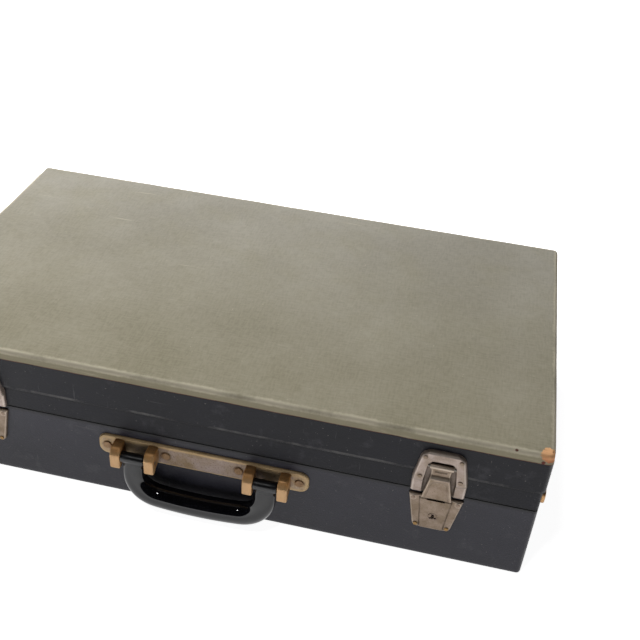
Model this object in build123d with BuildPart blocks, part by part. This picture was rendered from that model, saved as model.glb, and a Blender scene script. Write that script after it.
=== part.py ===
from build123d import *
import os

# A hard-sided trumpet case: two shallow wooden boxes, a base and a lid, hinged along the rear
# edge, covered in black leathercloth with grey cloth on the lid's top, and lined for a trumpet.
# X runs along the case, the front face looks to -Y, and Z is up. The origin is the middle of
# the underside. All sizes are in millimetres.

os.makedirs("parts", exist_ok=True)

# ---------------------------------------------------------------- driving dimensions
# The closed case, measured over the proud upper band of the lid
case_length = 550.0
case_depth = 305.0
base_height = 76.6
lid_height = 61.4

# Boards, panels and skins
board = 7.0
panel = 4.0
covering = 0.8
cloth = 0.8
hoop = 1.6
lining = 1.2
lid_pad = 6.0
parting_gap = 0.4
corner_radius = 5.0
arris_radius = 4.0
top_arris_radius = 3.4
cloth_turn_down = 9.5
band_height = 22.0
covering_turn_under = 16.0
lining_below_rim = 1.4

# Clearances
slide_clearance = 0.3
pin_clearance = 0.05
seat_clearance = 0.4

# Handle plate, its lugs and its pins
handle_plate_length = 182.0
handle_plate_height = 21.6
handle_plate_thickness = 2.4
handle_plate_corner = 8.0
handle_plate_below_rim = 19.4
handle_lug_width = 8.8
handle_lug_inner = 42.2
handle_lug_outer = 71.6
handle_pin_radius = 1.6
handle_pin_below_rim = 20.2
handle_pin_reach = 11.8
handle_rivet_inner = 31.5
handle_rivet_outer = 83.0
lug_top_drop = 2.4
lug_slope = 6.2
lug_beak = 1.4
lug_beak_depth = 3.6
lug_rounding = 1.2

# Handle: two barrels, two arms and a thick grip
handle_barrel_radius = 4.8
handle_arm_width = 18.0
handle_drop = 39.6
grip_height = 19.6
grip_depth = 19.0
handle_bend = 17.5
handle_arm_thinning = 1.0

# Latches
latch_offset = 194.0
latch_plate_top = 45.9
latch_plate_shoulder = 16.4
latch_plate_width = 43.6
latch_plate_top_width = 33.0
latch_plate_corner = 8.0
latch_plate_proud = 4.4
latch_ear_proud = 1.6
latch_ear_bend = 5.0
latch_floor = 0.6
latch_window_width = 25.0
latch_window_top_width = 21.0
latch_window_top = 38.3
hasp_pin_level = 31.4
hasp_pin_reach = 4.6
hasp_pin_radius = 0.8
hasp_knuckle_radius = 2.1
hasp_width = 18.4
hasp_neck_width = 16.4
hasp_tongue_top_width = 18.0
hasp_tongue_width = 25.0
hasp_sheet = 1.3
hasp_neck_length = 12.6
hasp_step = 2.6
hasp_overlap = 3.6
hasp_dish_inset = 4.2
hasp_dish_depth = 0.35
hasp_tip_radius = 1.0

# Lock plates on the base, with the lock behind them
lock_plate_top_gap = 4.3
lock_plate_length = 36.3
lock_plate_width = 44.0
lock_plate_bottom_width = 31.0
lock_plate_thickness = 2.8
lock_plate_corner = 4.0
lock_panel_proud = 0.5
lock_panel_width = 25.2
lock_panel_bottom_width = 18.4
lock_panel_edge = 0.8
lock_panel_slope = 35
lock_wall = 1.0
lock_pocket_width = 22.0
lock_case_wall = 0.8
lock_case_depth = 5.6
lock_pocket_bridge = 1.2
lock_pocket_length = 30.6
key_below_rim = 25.8
key_radius = 4.0
key_flange_radius = 5.0
key_crank_radius = 1.0
key_slot_width = 1.2
key_slot_length = 4.8
key_slot_depth = 2.0
crank_clearance = 0.15
guide_shortfall = 10.0
catch_travel = 3.0
catch_width = 10.0
catch_thickness = 1.4
hook_width = 12.0
hook_thickness = 1.0
hook_lip = 2.8
hook_notch_width = 14.6
hook_notch_clearance = 1.4

# Rear stop hinges
hinge_offset = 175.0
hinge_length = 50.0
hinge_sheet = 1.2
hinge_knuckle_radius = 3.0
hinge_pin_radius = 1.5
hinge_base_leaf = 22.0
hinge_lid_leaf = 14.6
hinge_leaf_gap = 3.6
hinge_knuckles = 5
hinge_stop_length = 6.4
hinge_stop_thickness = 1.4
hinge_knuckle_gap = 0.3

# Brass end plates on the lid's lower band
end_plate_length = 20.0
end_plate_height = 13.0
end_plate_thickness = 3.0
end_plate_corner = 4.5
end_plate_from_corner = 14.0

# Rivets
rivet_head_radius = 3.2
rivet_head_height = 1.1
rivet_shank_radius = 1.3
rivet_depth = 5.0
handle_rivet_head_radius = 3.8
nail_head_radius = 1.9
nail_head_height = 0.8
nail_shank_radius = 0.9
nail_from_edge = 3.4
nail_from_end = 3.5
head_rounding = 0.8

# Inside the base
partition = 6.0
partition_below_rim = 14.4
accessory_strip = 62.0
accessory_box_length = 200.0
accessory_lid_thickness = 4.5
accessory_lid_heel = 3.5
accessory_pin_radius = 1.5
accessory_pin_length = 9.0
accessory_ledge = 3.0
tab_width = 16.0
tab_length = 24.0
tab_thickness = 1.0
mouthpiece_block_length = 70.0
mouthpiece_block_height = 44.0
socket_radius = 10.0
socket_depth = 38.0
socket_pitch = 32.0
bell_axis_from_front = 66.0
bell_axis_height = 64.0
bell_neck_radius = 24.0
bell_cradle_thickness = 30.0
bell_cradle_from_right = 114.0
bell_cradle_height = 58.0
valve_bed_length = 130.0
rests_from_partition = 39.8
valve_bed_height = 32.0
slide_rest_thickness = 25.0
slide_rest_from_left = 50.0
slide_rest_height = 52.0
slide_tube_radius = 11.0
slide_tube_pitch = 86.0
block_fillet = 4.0

# ---------------------------------------------------------------- shared sizes worked out
boards_length = case_length - 2 * (hoop + covering)
boards_depth = case_depth - 2 * (hoop + covering)
shell_length = boards_length + 2 * covering
shell_depth = boards_depth + 2 * covering
inner_length = boards_length - 2 * board
inner_depth = boards_depth - 2 * board
case_height = base_height + lid_height
floor_level = covering + panel
base_rim = base_height - parting_gap / 2
lid_rim = base_height + parting_gap / 2
lid_ceiling = case_height - cloth - panel
ridge_level = base_height + band_height
cloth_edge = case_height - cloth_turn_down
hoop_corner = corner_radius - covering
board_corner = hoop_corner - hoop
front_face = shell_depth / 2
band_face = case_depth / 2
bay_length = inner_length - 2 * lining
bay_depth = inner_depth - 2 * lining
bay_floor = floor_level + lining

hasp_pin_z = base_height + hasp_pin_level
latch_shoulder = base_height + latch_plate_shoulder
latch_top = base_height + latch_plate_top
handle_pin_y = -(front_face + handle_pin_reach)
hinge_axis_y = front_face + hinge_knuckle_radius
handle_plate_level = base_height - handle_plate_below_rim
handle_pin_level = base_height - handle_pin_below_rim
key_level = base_height - key_below_rim
lock_plate_top = base_height - lock_plate_top_gap
lock_plate_bottom = lock_plate_top - lock_plate_length
lock_pocket_top = base_rim - lock_pocket_bridge
lock_pocket_bottom = lock_pocket_top - lock_pocket_length
lock_face = lock_plate_thickness + lock_panel_proud
lock_middle = (lock_pocket_top + lock_pocket_bottom) / 2
catch_back = 2 * key_crank_radius + slide_clearance + parting_gap
catch_front = catch_back - catch_thickness
crank_across = catch_travel / 2

partition_y = bay_depth / 2 - accessory_strip - partition / 2
rests_width = bay_depth - accessory_strip - partition - rests_from_partition
bell_cradle_width = 2 * bell_axis_from_front
partition_top = base_rim - partition_below_rim
accessory_right = bay_length / 2 - partition
accessory_left = accessory_right - accessory_box_length
accessory_pin_y = bay_depth / 2 - accessory_lid_heel - 2 * seat_clearance
accessory_pin_z = partition_top - accessory_lid_thickness / 2 - slide_clearance


# ---------------------------------------------------------------- planes and small helpers
def front_plane(outward):
    """Upright plane in front of the base's covering; sketch x is X, sketch y is Z."""
    return Plane(origin=(0, -(front_face + outward), 0), x_dir=(1, 0, 0), z_dir=(0, -1, 0))


def rear_plane(outward):
    """Upright plane behind the base's covering; sketch x is -X, sketch y is Z."""
    return Plane(origin=(0, front_face + outward, 0), x_dir=(-1, 0, 0), z_dir=(0, 1, 0))


def side_profile(x):
    """Upright plane across the case; sketch x is the way out of the front face, sketch y is Z."""
    return Plane(origin=(x, -front_face, 0), x_dir=(0, -1, 0), z_dir=(-1, 0, 0))


def rear_profile(x):
    """Upright plane across the case; sketch x is the way out of the rear face, sketch y is Z."""
    return Plane(origin=(x, front_face, 0), x_dir=(0, 1, 0), z_dir=(1, 0, 0))


def keep(piece, name):
    """Label a finished piece and write it to its own file."""
    piece.part.label = name
    export_step(piece.part, f"parts/{name}.step")


def slab(length, depth, low, high, centre=(0, 0), mode=Mode.ADD):
    """An upright box between two levels."""
    with BuildSketch(Plane.XY.offset(low)) as shape:
        with Locations(centre):
            Rectangle(length, depth)
    extrude(shape.sketch, amount=high - low, mode=mode)


def rounded_slab(length, depth, corner, low, high, mode=Mode.ADD):
    """An upright box with rounded vertical corners between two levels."""
    with BuildSketch(Plane.XY.offset(low)) as shape:
        RectangleRounded(length, depth, corner)
    extrude(shape.sketch, amount=high - low, mode=mode)


def pegs(plane, places, radius, depth, mode=Mode.SUBTRACT):
    """Round shanks, or their holes, that run inward from a plane."""
    with BuildSketch(plane) as shape:
        with Locations(*places):
            Circle(radius)
    extrude(shape.sketch, amount=-depth, mode=mode)


def headed_pegs(name, plane, places, head_radius, head_height, shank_radius, depth):
    """A group of like rivets or nails, each a rounded head on a round shank."""
    with BuildPart() as group:
        with BuildSketch(plane):
            with Locations(*places):
                Circle(head_radius)
        extrude(amount=head_height)
        crowns = group.faces().group_by(Axis(plane.origin, plane.z_dir))[-1]
        fillet(crowns.edges(), head_height * head_rounding)
        pegs(plane, places, shank_radius, depth, mode=Mode.ADD)
    keep(group, name)


def outline(points):
    """A closed face through corner points."""
    with BuildLine() as edge:
        Polyline(*points, close=True)
    make_face(edge.edges())


# ---------------------------------------------------------------- where the fasteners go
handle_rivet_places = [
    (x, handle_plate_level)
    for x in (-handle_rivet_outer, -handle_rivet_inner, handle_rivet_inner, handle_rivet_outer)
]
hinge_rivet_pitch = hinge_length / 3
hinge_rivet_columns = [
    side * hinge_offset + step * hinge_rivet_pitch for side in (-1, 1) for step in (-1, 0, 1)
]
base_leaf_top = base_height - hinge_leaf_gap
lid_leaf_bottom = base_height + hinge_leaf_gap
base_hinge_rivet_places = [(x, base_leaf_top - hinge_base_leaf / 2) for x in hinge_rivet_columns]
lid_hinge_rivet_places = [(x, lid_leaf_bottom + hinge_lid_leaf / 2) for x in hinge_rivet_columns]


def width_between(level, low, low_width, high, high_width):
    """Width of a tapered plate at a level between its two ends."""
    share = (level - low) / (high - low)
    return low_width + (high_width - low_width) * share


def lock_nail_across(level):
    """How far from a lock plate's middle line its nails stand at a level."""
    width = width_between(level, lock_plate_bottom, lock_plate_bottom_width,
                          lock_plate_top, lock_plate_width)
    return width / 2 - nail_from_edge


def latch_nail_across(level):
    """How far from a latch plate's middle line its nails stand: midway along its rim."""
    outer = width_between(level, latch_shoulder, latch_plate_width,
                          latch_top, latch_plate_top_width)
    return (outer + latch_window_top_width) / 4


lock_nail_places = [
    (side * latch_offset + hand * lock_nail_across(level), level)
    for side in (-1, 1)
    for hand in (-1, 1)
    for level in (lock_plate_bottom + nail_from_end, lock_plate_top - nail_from_end)
]
latch_nail_places = [
    (side * latch_offset + hand * latch_nail_across(level), level)
    for side in (-1, 1)
    for hand in (-1, 1)
    for level in (latch_shoulder + nail_from_end, latch_top - nail_from_end - nail_head_radius)
]


# ---------------------------------------------------------------- the base box
def lock_mortises(inward):
    """The two rectangular mortises that take the lock cases, cut to a depth behind the skin."""
    with BuildSketch(front_plane(0)) as shape:
        with Locations((-latch_offset, lock_middle), (latch_offset, lock_middle)):
            Rectangle(lock_pocket_width, lock_pocket_length)
    extrude(shape.sketch, amount=-inward, mode=Mode.SUBTRACT)


def base_box():
    """Bottom panel and four boards, butted at the corners."""
    with BuildPart() as bottom:
        rounded_slab(boards_length, boards_depth, board_corner, covering, floor_level)
        fillet(bottom.faces().sort_by(Axis.Z)[0].edges(), arris_radius - covering)
    keep(bottom, "base_bottom_panel")

    with BuildPart() as front:
        slab(boards_length, board, floor_level, base_rim, (0, (board - boards_depth) / 2))
        fillet(front.edges().filter_by(Axis.Z).group_by(Axis.Y)[0], board_corner)
        lock_mortises(lock_case_depth)
        pegs(front_plane(0), handle_rivet_places, rivet_shank_radius, rivet_depth)
        pegs(front_plane(0), lock_nail_places, nail_shank_radius, rivet_depth)
    keep(front, "base_front_board")

    with BuildPart() as rear:
        slab(boards_length, board, floor_level, base_rim, (0, (boards_depth - board) / 2))
        fillet(rear.edges().filter_by(Axis.Z).group_by(Axis.Y)[-1], board_corner)
        pegs(rear_plane(0), base_hinge_rivet_places, rivet_shank_radius, rivet_depth)
    keep(rear, "base_rear_board")

    for side, name in ((-1, "left"), (1, "right")):
        with BuildPart() as end:
            middle = (side * (boards_length - board) / 2, 0)
            slab(board, inner_depth, floor_level, base_rim, middle)
        keep(end, f"base_{name}_board")


def base_covering():
    """Leathercloth round the sides, turned under the bottom, and the sheet that fills it in."""
    with BuildPart() as sides:
        rounded_slab(shell_length, shell_depth, board_corner + covering, 0, base_rim)
        fillet(sides.faces().sort_by(Axis.Z)[0].edges(), arris_radius)
        with BuildPart(mode=Mode.PRIVATE) as core:
            rounded_slab(boards_length, boards_depth, board_corner, covering, base_rim)
            fillet(core.faces().sort_by(Axis.Z)[0].edges(), arris_radius - covering)
        add(core.part, mode=Mode.SUBTRACT)
        slab(shell_length - 2 * covering_turn_under, shell_depth - 2 * covering_turn_under,
             0, covering, mode=Mode.SUBTRACT)
        lock_mortises(covering)
        pegs(front_plane(0), handle_rivet_places, rivet_shank_radius, covering)
        pegs(front_plane(0), lock_nail_places, nail_shank_radius, covering)
        pegs(rear_plane(0), base_hinge_rivet_places, rivet_shank_radius, covering)
    keep(sides, "base_side_covering")

    with BuildPart() as under:
        slab(shell_length - 2 * covering_turn_under, shell_depth - 2 * covering_turn_under,
             0, covering)
    keep(under, "base_bottom_covering")


def base_lining():
    """A plush-lined tray that covers the floor and the inside of the boards."""
    with BuildPart() as tray:
        slab(inner_length, inner_depth, floor_level, base_rim - lining_below_rim)
        slab(bay_length, bay_depth, bay_floor, base_rim, mode=Mode.SUBTRACT)
    keep(tray, "base_lining")


# ---------------------------------------------------------------- fittings inside the base
def partitions():
    """The long partition with its ledge, and the two ends of the accessory box."""
    with BuildPart() as long_one:
        slab(bay_length, partition, bay_floor, partition_top, (0, partition_y))
        ledge_top = accessory_pin_z - accessory_lid_thickness / 2
        ledge_y = partition_y + (partition + accessory_ledge) / 2
        slab(accessory_box_length, accessory_ledge, ledge_top - accessory_ledge, ledge_top,
             ((accessory_left + accessory_right) / 2, ledge_y))
    keep(long_one, "long_partition")

    strip_y = (bay_depth - accessory_strip) / 2
    for x, name in ((accessory_left - partition / 2, "accessory_box_left_end"),
                    (accessory_right + partition / 2, "accessory_box_right_end")):
        with BuildPart() as end:
            slab(partition, accessory_strip, bay_floor, partition_top, (x, strip_y))
            with BuildSketch(Plane.YZ.offset(x)):
                with Locations((accessory_pin_y, accessory_pin_z)):
                    Circle(accessory_pin_radius + pin_clearance)
            extrude(amount=partition, both=True, mode=Mode.SUBTRACT)
        keep(end, name)


def accessory_lid():
    """A plush-covered board that turns on two end pins, with a pull tab on its front edge."""
    length = accessory_box_length - 2 * seat_clearance
    rear_edge = accessory_pin_y + accessory_lid_heel
    front_edge = partition_y + partition / 2 + seat_clearance
    x = (accessory_left + accessory_right) / 2
    low = accessory_pin_z - accessory_lid_thickness / 2
    high = accessory_pin_z + accessory_lid_thickness / 2
    pin_places = (Plane.YZ.offset(x - length / 2), Plane.YZ.offset(x + length / 2))
    in_lid = accessory_pin_length - partition + seat_clearance

    with BuildPart() as flap:
        slab(length, rear_edge - front_edge, low, high, (x, (rear_edge + front_edge) / 2))
        for plane, inward in zip(pin_places, (in_lid, -in_lid)):
            with BuildSketch(plane):
                with Locations((accessory_pin_y, accessory_pin_z)):
                    Circle(accessory_pin_radius)
            extrude(amount=inward, mode=Mode.SUBTRACT)
    keep(flap, "accessory_lid")

    with BuildPart() as pins:
        for plane, inward in zip(pin_places, (in_lid, -in_lid)):
            outward = -inward / in_lid * (accessory_pin_length - in_lid)
            with BuildSketch(plane.offset(outward)):
                with Locations((accessory_pin_y, accessory_pin_z)):
                    Circle(accessory_pin_radius)
            extrude(amount=inward - outward)
    keep(pins, "accessory_lid_pins")

    with BuildPart() as tab:
        slab(tab_width, tab_length, high, high + tab_thickness, (x, front_edge + tab_length / 2))
        fillet(tab.edges().filter_by(Axis.Z), tab_width / 4)
    keep(tab, "accessory_lid_tab")


def mouthpiece_block():
    """A padded block with two upright sockets for mouthpiece shanks."""
    x = (mouthpiece_block_length - bay_length) / 2
    y = (bay_depth - accessory_strip) / 2
    top = bay_floor + mouthpiece_block_height
    with BuildPart() as block:
        slab(mouthpiece_block_length, accessory_strip, bay_floor, top, (x, y))
        with Locations((x - socket_pitch / 2, y, top), (x + socket_pitch / 2, y, top)):
            Hole(socket_radius, socket_depth)
    keep(block, "mouthpiece_block")


def trumpet_rests():
    """The padded blocks that carry the bell, the valves and the tuning slide."""
    bell_y = bell_axis_from_front - bay_depth / 2
    cradle_x = bay_length / 2 - bell_cradle_from_right - bell_cradle_thickness / 2
    cradle_top = bay_floor + bell_cradle_height
    with BuildPart() as cradle:
        slab(bell_cradle_thickness, bell_cradle_width, bay_floor, cradle_top,
             (cradle_x, (bell_cradle_width - bay_depth) / 2))
        with BuildSketch(Plane.YZ.offset(cradle_x)):
            with Locations((bell_y, bay_floor + bell_axis_height)):
                Circle(bell_neck_radius)
        extrude(amount=bell_cradle_thickness, both=True, mode=Mode.SUBTRACT)
        fillet(cradle.edges().filter_by(Axis.Y).group_by(Axis.Z)[-1], block_fillet)
    keep(cradle, "bell_cradle")

    with BuildPart() as bed:
        slab(valve_bed_length, rests_width, bay_floor, bay_floor + valve_bed_height,
             (0, (rests_width - bay_depth) / 2))
        fillet(bed.faces().sort_by(Axis.Z)[-1].edges().filter_by(Axis.Y), block_fillet)
    keep(bed, "valve_bed")

    rest_x = slide_rest_from_left + slide_rest_thickness / 2 - bay_length / 2
    rest_top = bay_floor + slide_rest_height
    with BuildPart() as rest:
        slab(slide_rest_thickness, rests_width, bay_floor, rest_top,
             (rest_x, (rests_width - bay_depth) / 2))
        with BuildSketch(Plane.YZ.offset(rest_x)):
            with Locations((bell_y, rest_top), (bell_y + slide_tube_pitch, rest_top)):
                Circle(slide_tube_radius)
        extrude(amount=slide_rest_thickness, both=True, mode=Mode.SUBTRACT)
    keep(rest, "slide_rest")


# ---------------------------------------------------------------- the lid box
def lid_box():
    """Top panel, four boards, and the hoop that makes the upper band stand proud."""
    with BuildPart() as top:
        rounded_slab(boards_length + 2 * hoop, boards_depth + 2 * hoop, hoop_corner,
                     lid_ceiling, lid_ceiling + panel)
        fillet(top.faces().sort_by(Axis.Z)[-1].edges(), top_arris_radius - cloth)
    keep(top, "lid_top_panel")

    with BuildPart() as front:
        slab(boards_length, board, lid_rim, lid_ceiling, (0, (board - boards_depth) / 2))
        fillet(front.edges().filter_by(Axis.Z).group_by(Axis.Y)[0], board_corner)
        pegs(front_plane(0), latch_nail_places, nail_shank_radius, rivet_depth)
    keep(front, "lid_front_board")

    with BuildPart() as rear:
        slab(boards_length, board, lid_rim, lid_ceiling, (0, (boards_depth - board) / 2))
        fillet(rear.edges().filter_by(Axis.Z).group_by(Axis.Y)[-1], board_corner)
        pegs(rear_plane(0), lid_hinge_rivet_places, rivet_shank_radius, rivet_depth)
    keep(rear, "lid_rear_board")

    for side, name in ((-1, "left"), (1, "right")):
        with BuildPart() as end:
            middle = (side * (boards_length - board) / 2, 0)
            slab(board, inner_depth, lid_rim, lid_ceiling, middle)
            with BuildSketch(end_plate_plane(side, 0)):
                with Locations(end_plate_centre(side)):
                    Circle(nail_shank_radius)
            extrude(amount=-rivet_depth, mode=Mode.SUBTRACT)
        keep(end, f"lid_{name}_board")

    with BuildPart() as strip:
        rounded_slab(boards_length + 2 * hoop, boards_depth + 2 * hoop, hoop_corner,
                     ridge_level, lid_ceiling)
        rounded_slab(boards_length, boards_depth, board_corner, ridge_level, lid_ceiling,
                     mode=Mode.SUBTRACT)
        pegs(front_plane(hoop + covering), latch_nail_places, nail_shank_radius,
             hoop + covering + rivet_depth)
    keep(strip, "lid_band_hoop")


def lid_covering():
    """Leathercloth on the two bands of the lid, and the grey cloth over its top."""
    with BuildPart() as lower:
        rounded_slab(shell_length, shell_depth, board_corner + covering, lid_rim,
                     ridge_level - covering)
        rounded_slab(boards_length, boards_depth, board_corner, lid_rim, ridge_level,
                     mode=Mode.SUBTRACT)
        pegs(front_plane(0), latch_nail_places, nail_shank_radius, covering)
        pegs(rear_plane(0), lid_hinge_rivet_places, rivet_shank_radius, covering)
        for side in (-1, 1):
            with BuildSketch(end_plate_plane(side, 0)):
                with Locations(end_plate_centre(side)):
                    Circle(nail_shank_radius)
            extrude(amount=-covering, mode=Mode.SUBTRACT)
    keep(lower, "lid_lower_covering")

    with BuildPart() as upper:
        rounded_slab(case_length, case_depth, corner_radius, ridge_level - covering, cloth_edge)
        rounded_slab(boards_length + 2 * hoop, boards_depth + 2 * hoop, hoop_corner,
                     ridge_level, cloth_edge, mode=Mode.SUBTRACT)
        rounded_slab(boards_length, boards_depth, board_corner, ridge_level - covering,
                     ridge_level, mode=Mode.SUBTRACT)
        pegs(front_plane(hoop), latch_nail_places, nail_shank_radius, covering + hoop)
    keep(upper, "lid_upper_covering")

    with BuildPart() as top:
        rounded_slab(case_length, case_depth, corner_radius, cloth_edge, case_height)
        fillet(top.faces().sort_by(Axis.Z)[-1].edges(), top_arris_radius)
        with BuildPart(mode=Mode.PRIVATE) as core:
            rounded_slab(boards_length + 2 * hoop, boards_depth + 2 * hoop, hoop_corner,
                         cloth_edge, lid_ceiling + panel)
            fillet(core.faces().sort_by(Axis.Z)[-1].edges(), top_arris_radius - cloth)
        add(core.part, mode=Mode.SUBTRACT)
    keep(top, "lid_top_cloth")


def lid_lining():
    """A pad under the top panel and plush round the inside of the lid's boards."""
    with BuildPart() as pad:
        slab(bay_length, bay_depth, lid_ceiling - lid_pad, lid_ceiling)
    keep(pad, "lid_pad")

    with BuildPart() as walls:
        slab(inner_length, inner_depth, lid_rim + lining_below_rim, lid_ceiling)
        slab(bay_length, bay_depth, lid_rim, lid_ceiling, mode=Mode.SUBTRACT)
    keep(walls, "lid_wall_lining")


# ---------------------------------------------------------------- brass end plates
def end_plate_plane(side, outward):
    """Upright plane over an end of the case; sketch x runs along Y, sketch y is Z."""
    x = side * (shell_length / 2 + outward)
    return Plane(origin=(x, 0, 0), x_dir=(0, side, 0), z_dir=(side, 0, 0))


def end_plate_centre(side):
    """Middle of an end plate, near the front corner and midway up the lower band."""
    y = end_plate_from_corner - front_face
    z = (lid_rim + ridge_level - covering) / 2
    return (side * y, z)


def end_plates():
    """A small brass plate nailed to each end of the lid's lower band."""
    for side, name in ((-1, "left"), (1, "right")):
        with BuildPart() as plate:
            with BuildSketch(end_plate_plane(side, 0)):
                with Locations(end_plate_centre(side)):
                    RectangleRounded(end_plate_length, end_plate_height, end_plate_corner)
            extrude(amount=end_plate_thickness)
            outer = plate.faces().sort_by(Axis.X)[-1 if side > 0 else 0]
            fillet(outer.edges(), end_plate_thickness / 3)
            with BuildSketch(end_plate_plane(side, 0)):
                with Locations(end_plate_centre(side)):
                    Circle(nail_shank_radius)
            extrude(amount=end_plate_thickness, mode=Mode.SUBTRACT)
        keep(plate, f"end_plate_{name}")

    with BuildPart() as nails:
        for side in (-1, 1):
            with BuildSketch(end_plate_plane(side, end_plate_thickness)):
                with Locations(end_plate_centre(side)):
                    Circle(nail_head_radius)
            extrude(amount=nail_head_height)
            with BuildSketch(end_plate_plane(side, end_plate_thickness)):
                with Locations(end_plate_centre(side)):
                    Circle(nail_shank_radius)
            extrude(amount=-(end_plate_thickness + rivet_depth))
    keep(nails, "end_plate_nails")


# ---------------------------------------------------------------- latches
def latch_plates():
    """The arched plate on the lid, with a window in which the hasp turns."""
    half = latch_plate_width / 2
    top_half = latch_plate_top_width / 2
    window = latch_window_width / 2
    window_top = latch_window_top_width / 2
    foot = lid_rim
    shoulder = latch_shoulder
    top = latch_top
    ridge_under = ridge_level - covering - slide_clearance
    ridge_half = width_between(ridge_under, shoulder, half, top, top_half) - parting_gap
    back = hoop
    face = hoop + latch_plate_proud
    ear_face = hoop + latch_ear_proud
    for side, name in ((-1, "left"), (1, "right")):
        x = side * latch_offset
        with BuildPart() as plate:
            with BuildSketch(front_plane(back)) as shape:
                outline([
                    (x - half, foot), (x + half, foot), (x + half, shoulder),
                    (x + top_half, top), (x - top_half, top), (x - half, shoulder),
                ])
                fillet(shape.vertices().group_by(Axis.Y)[-1], latch_plate_corner)
                fillet(shape.vertices().group_by(Axis.Y)[1], latch_plate_corner / 2)
            extrude(amount=face - back)
            fillet(plate.faces().sort_by(Axis.Y)[0].edges(), latch_plate_proud / 4)
            with BuildSketch(front_plane(0)):
                outline([
                    (x - half, foot), (x + half, foot), (x + half, shoulder),
                    (x + ridge_half, ridge_under), (x - ridge_half, ridge_under),
                    (x - half, shoulder),
                ])
            extrude(amount=back)
            with BuildSketch(side_profile(x)):
                outline([
                    (ear_face, 0), (ear_face, shoulder - latch_ear_bend), (face, shoulder),
                    (2 * face, shoulder), (2 * face, 0),
                ])
            extrude(amount=latch_plate_width, both=True, mode=Mode.SUBTRACT)
            with BuildSketch(front_plane(back + latch_floor)) as hole:
                outline([
                    (x - window, 0), (x + window, 0), (x + window, shoulder),
                    (x + window_top, base_height + latch_window_top),
                    (x - window_top, base_height + latch_window_top), (x - window, shoulder),
                ])
                fillet(hole.vertices().group_by(Axis.Y)[-1], latch_plate_corner / 2)
            extrude(amount=latch_plate_proud * 2, mode=Mode.SUBTRACT)
            pin_half = window + hasp_knuckle_radius
            with BuildSketch(side_profile(x)):
                with Locations((hasp_pin_reach, hasp_pin_z)):
                    Circle(hasp_pin_radius)
            extrude(amount=pin_half, both=True, mode=Mode.SUBTRACT)
            pegs(front_plane(face), latch_nail_places, nail_shank_radius, face)
        keep(plate, f"latch_plate_{name}")

        with BuildPart() as pin:
            with BuildSketch(side_profile(x)):
                with Locations((hasp_pin_reach, hasp_pin_z)):
                    Circle(hasp_pin_radius)
            extrude(amount=pin_half, both=True)
        keep(pin, f"hasp_pin_{name}")


def hook_levels():
    """Underside of the hook's arm, and how far out its lip's front and back lie."""
    arm_under = base_height - hasp_overlap
    lip_front = -(catch_back + seat_clearance)
    return arm_under, lip_front, lip_front - hook_thickness


def hasp_profile(tongue_back, neck_back, neck_level, bottom):
    """Side view of a hasp: the neck close to the plate's floor, then the tongue in front."""
    step_level = neck_level + hasp_step
    bevel = hasp_sheet / 2
    outline([
        (neck_back, hasp_pin_z), (neck_back, step_level), (tongue_back, neck_level),
        (tongue_back, bottom), (tongue_back + hasp_sheet, bottom),
        (tongue_back + hasp_sheet, neck_level), (tongue_back + bevel, neck_level + hasp_sheet),
        (neck_back + hasp_sheet, step_level + hasp_sheet), (neck_back + hasp_sheet, hasp_pin_z),
    ])
    with Locations((hasp_pin_reach, hasp_pin_z)):
        Circle(hasp_knuckle_radius)


def mirrored_outline(x, half_widths):
    """A closed face that is symmetric about x, from half widths paired with levels."""
    right = [(x + half, level) for half, level in half_widths]
    left = [(x - half, level) for half, level in reversed(half_widths)]
    outline(right + left)


def hasps():
    """The hinged hasp: a knuckle, a recessed neck, and a tongue with a hook behind it."""
    neck_back = hoop + latch_floor + slide_clearance + 2 * pin_clearance
    tongue_back = hoop + latch_plate_proud - hasp_sheet + seat_clearance
    bottom = base_height - hasp_overlap
    neck_level = hasp_pin_z - hasp_neck_length
    knuckle = hasp_knuckle_radius + 2 * slide_clearance
    arm_under, lip_front, lip_back = hook_levels()
    for side, name in ((-1, "left"), (1, "right")):
        x = side * latch_offset
        with BuildPart() as hasp:
            with BuildSketch(side_profile(x)):
                hasp_profile(tongue_back, neck_back, neck_level, bottom)
            extrude(amount=hasp_width, both=True)
            with BuildSketch(front_plane(0)) as shape:
                mirrored_outline(x, [
                    (hasp_width / 2, hasp_pin_z + knuckle), (hasp_width / 2, hasp_pin_z - knuckle),
                    (hasp_neck_width / 2, neck_level + hasp_step),
                    (hasp_tongue_top_width / 2, neck_level), (hasp_tongue_width / 2, bottom),
                ])
                fillet(shape.vertices().group_by(Axis.Y)[0], hasp_tip_radius)
            extrude(amount=3 * hasp_pin_reach, both=True, mode=Mode.INTERSECT)
            with BuildSketch(front_plane(tongue_back + hasp_sheet)):
                mirrored_outline(x, [
                    (hasp_tongue_top_width / 2 - hasp_dish_inset / 2,
                     neck_level - hasp_dish_inset),
                    (hasp_tongue_width / 2 - hasp_dish_inset, bottom + hasp_dish_inset),
                ])
            extrude(amount=-hasp_dish_depth, mode=Mode.SUBTRACT)
            with BuildSketch(side_profile(x)):
                outline([
                    (tongue_back, arm_under), (lip_front, arm_under),
                    (lip_front, arm_under - hook_lip), (lip_back, arm_under - hook_lip),
                    (lip_back, arm_under + hook_thickness),
                    (tongue_back, arm_under + hook_thickness),
                ])
            extrude(amount=hook_width / 2, both=True)
            with BuildSketch(side_profile(x)):
                with Locations((hasp_pin_reach, hasp_pin_z)):
                    Circle(hasp_pin_radius + pin_clearance)
            extrude(amount=hasp_width, both=True, mode=Mode.SUBTRACT)
        keep(hasp, f"hasp_{name}")


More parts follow.
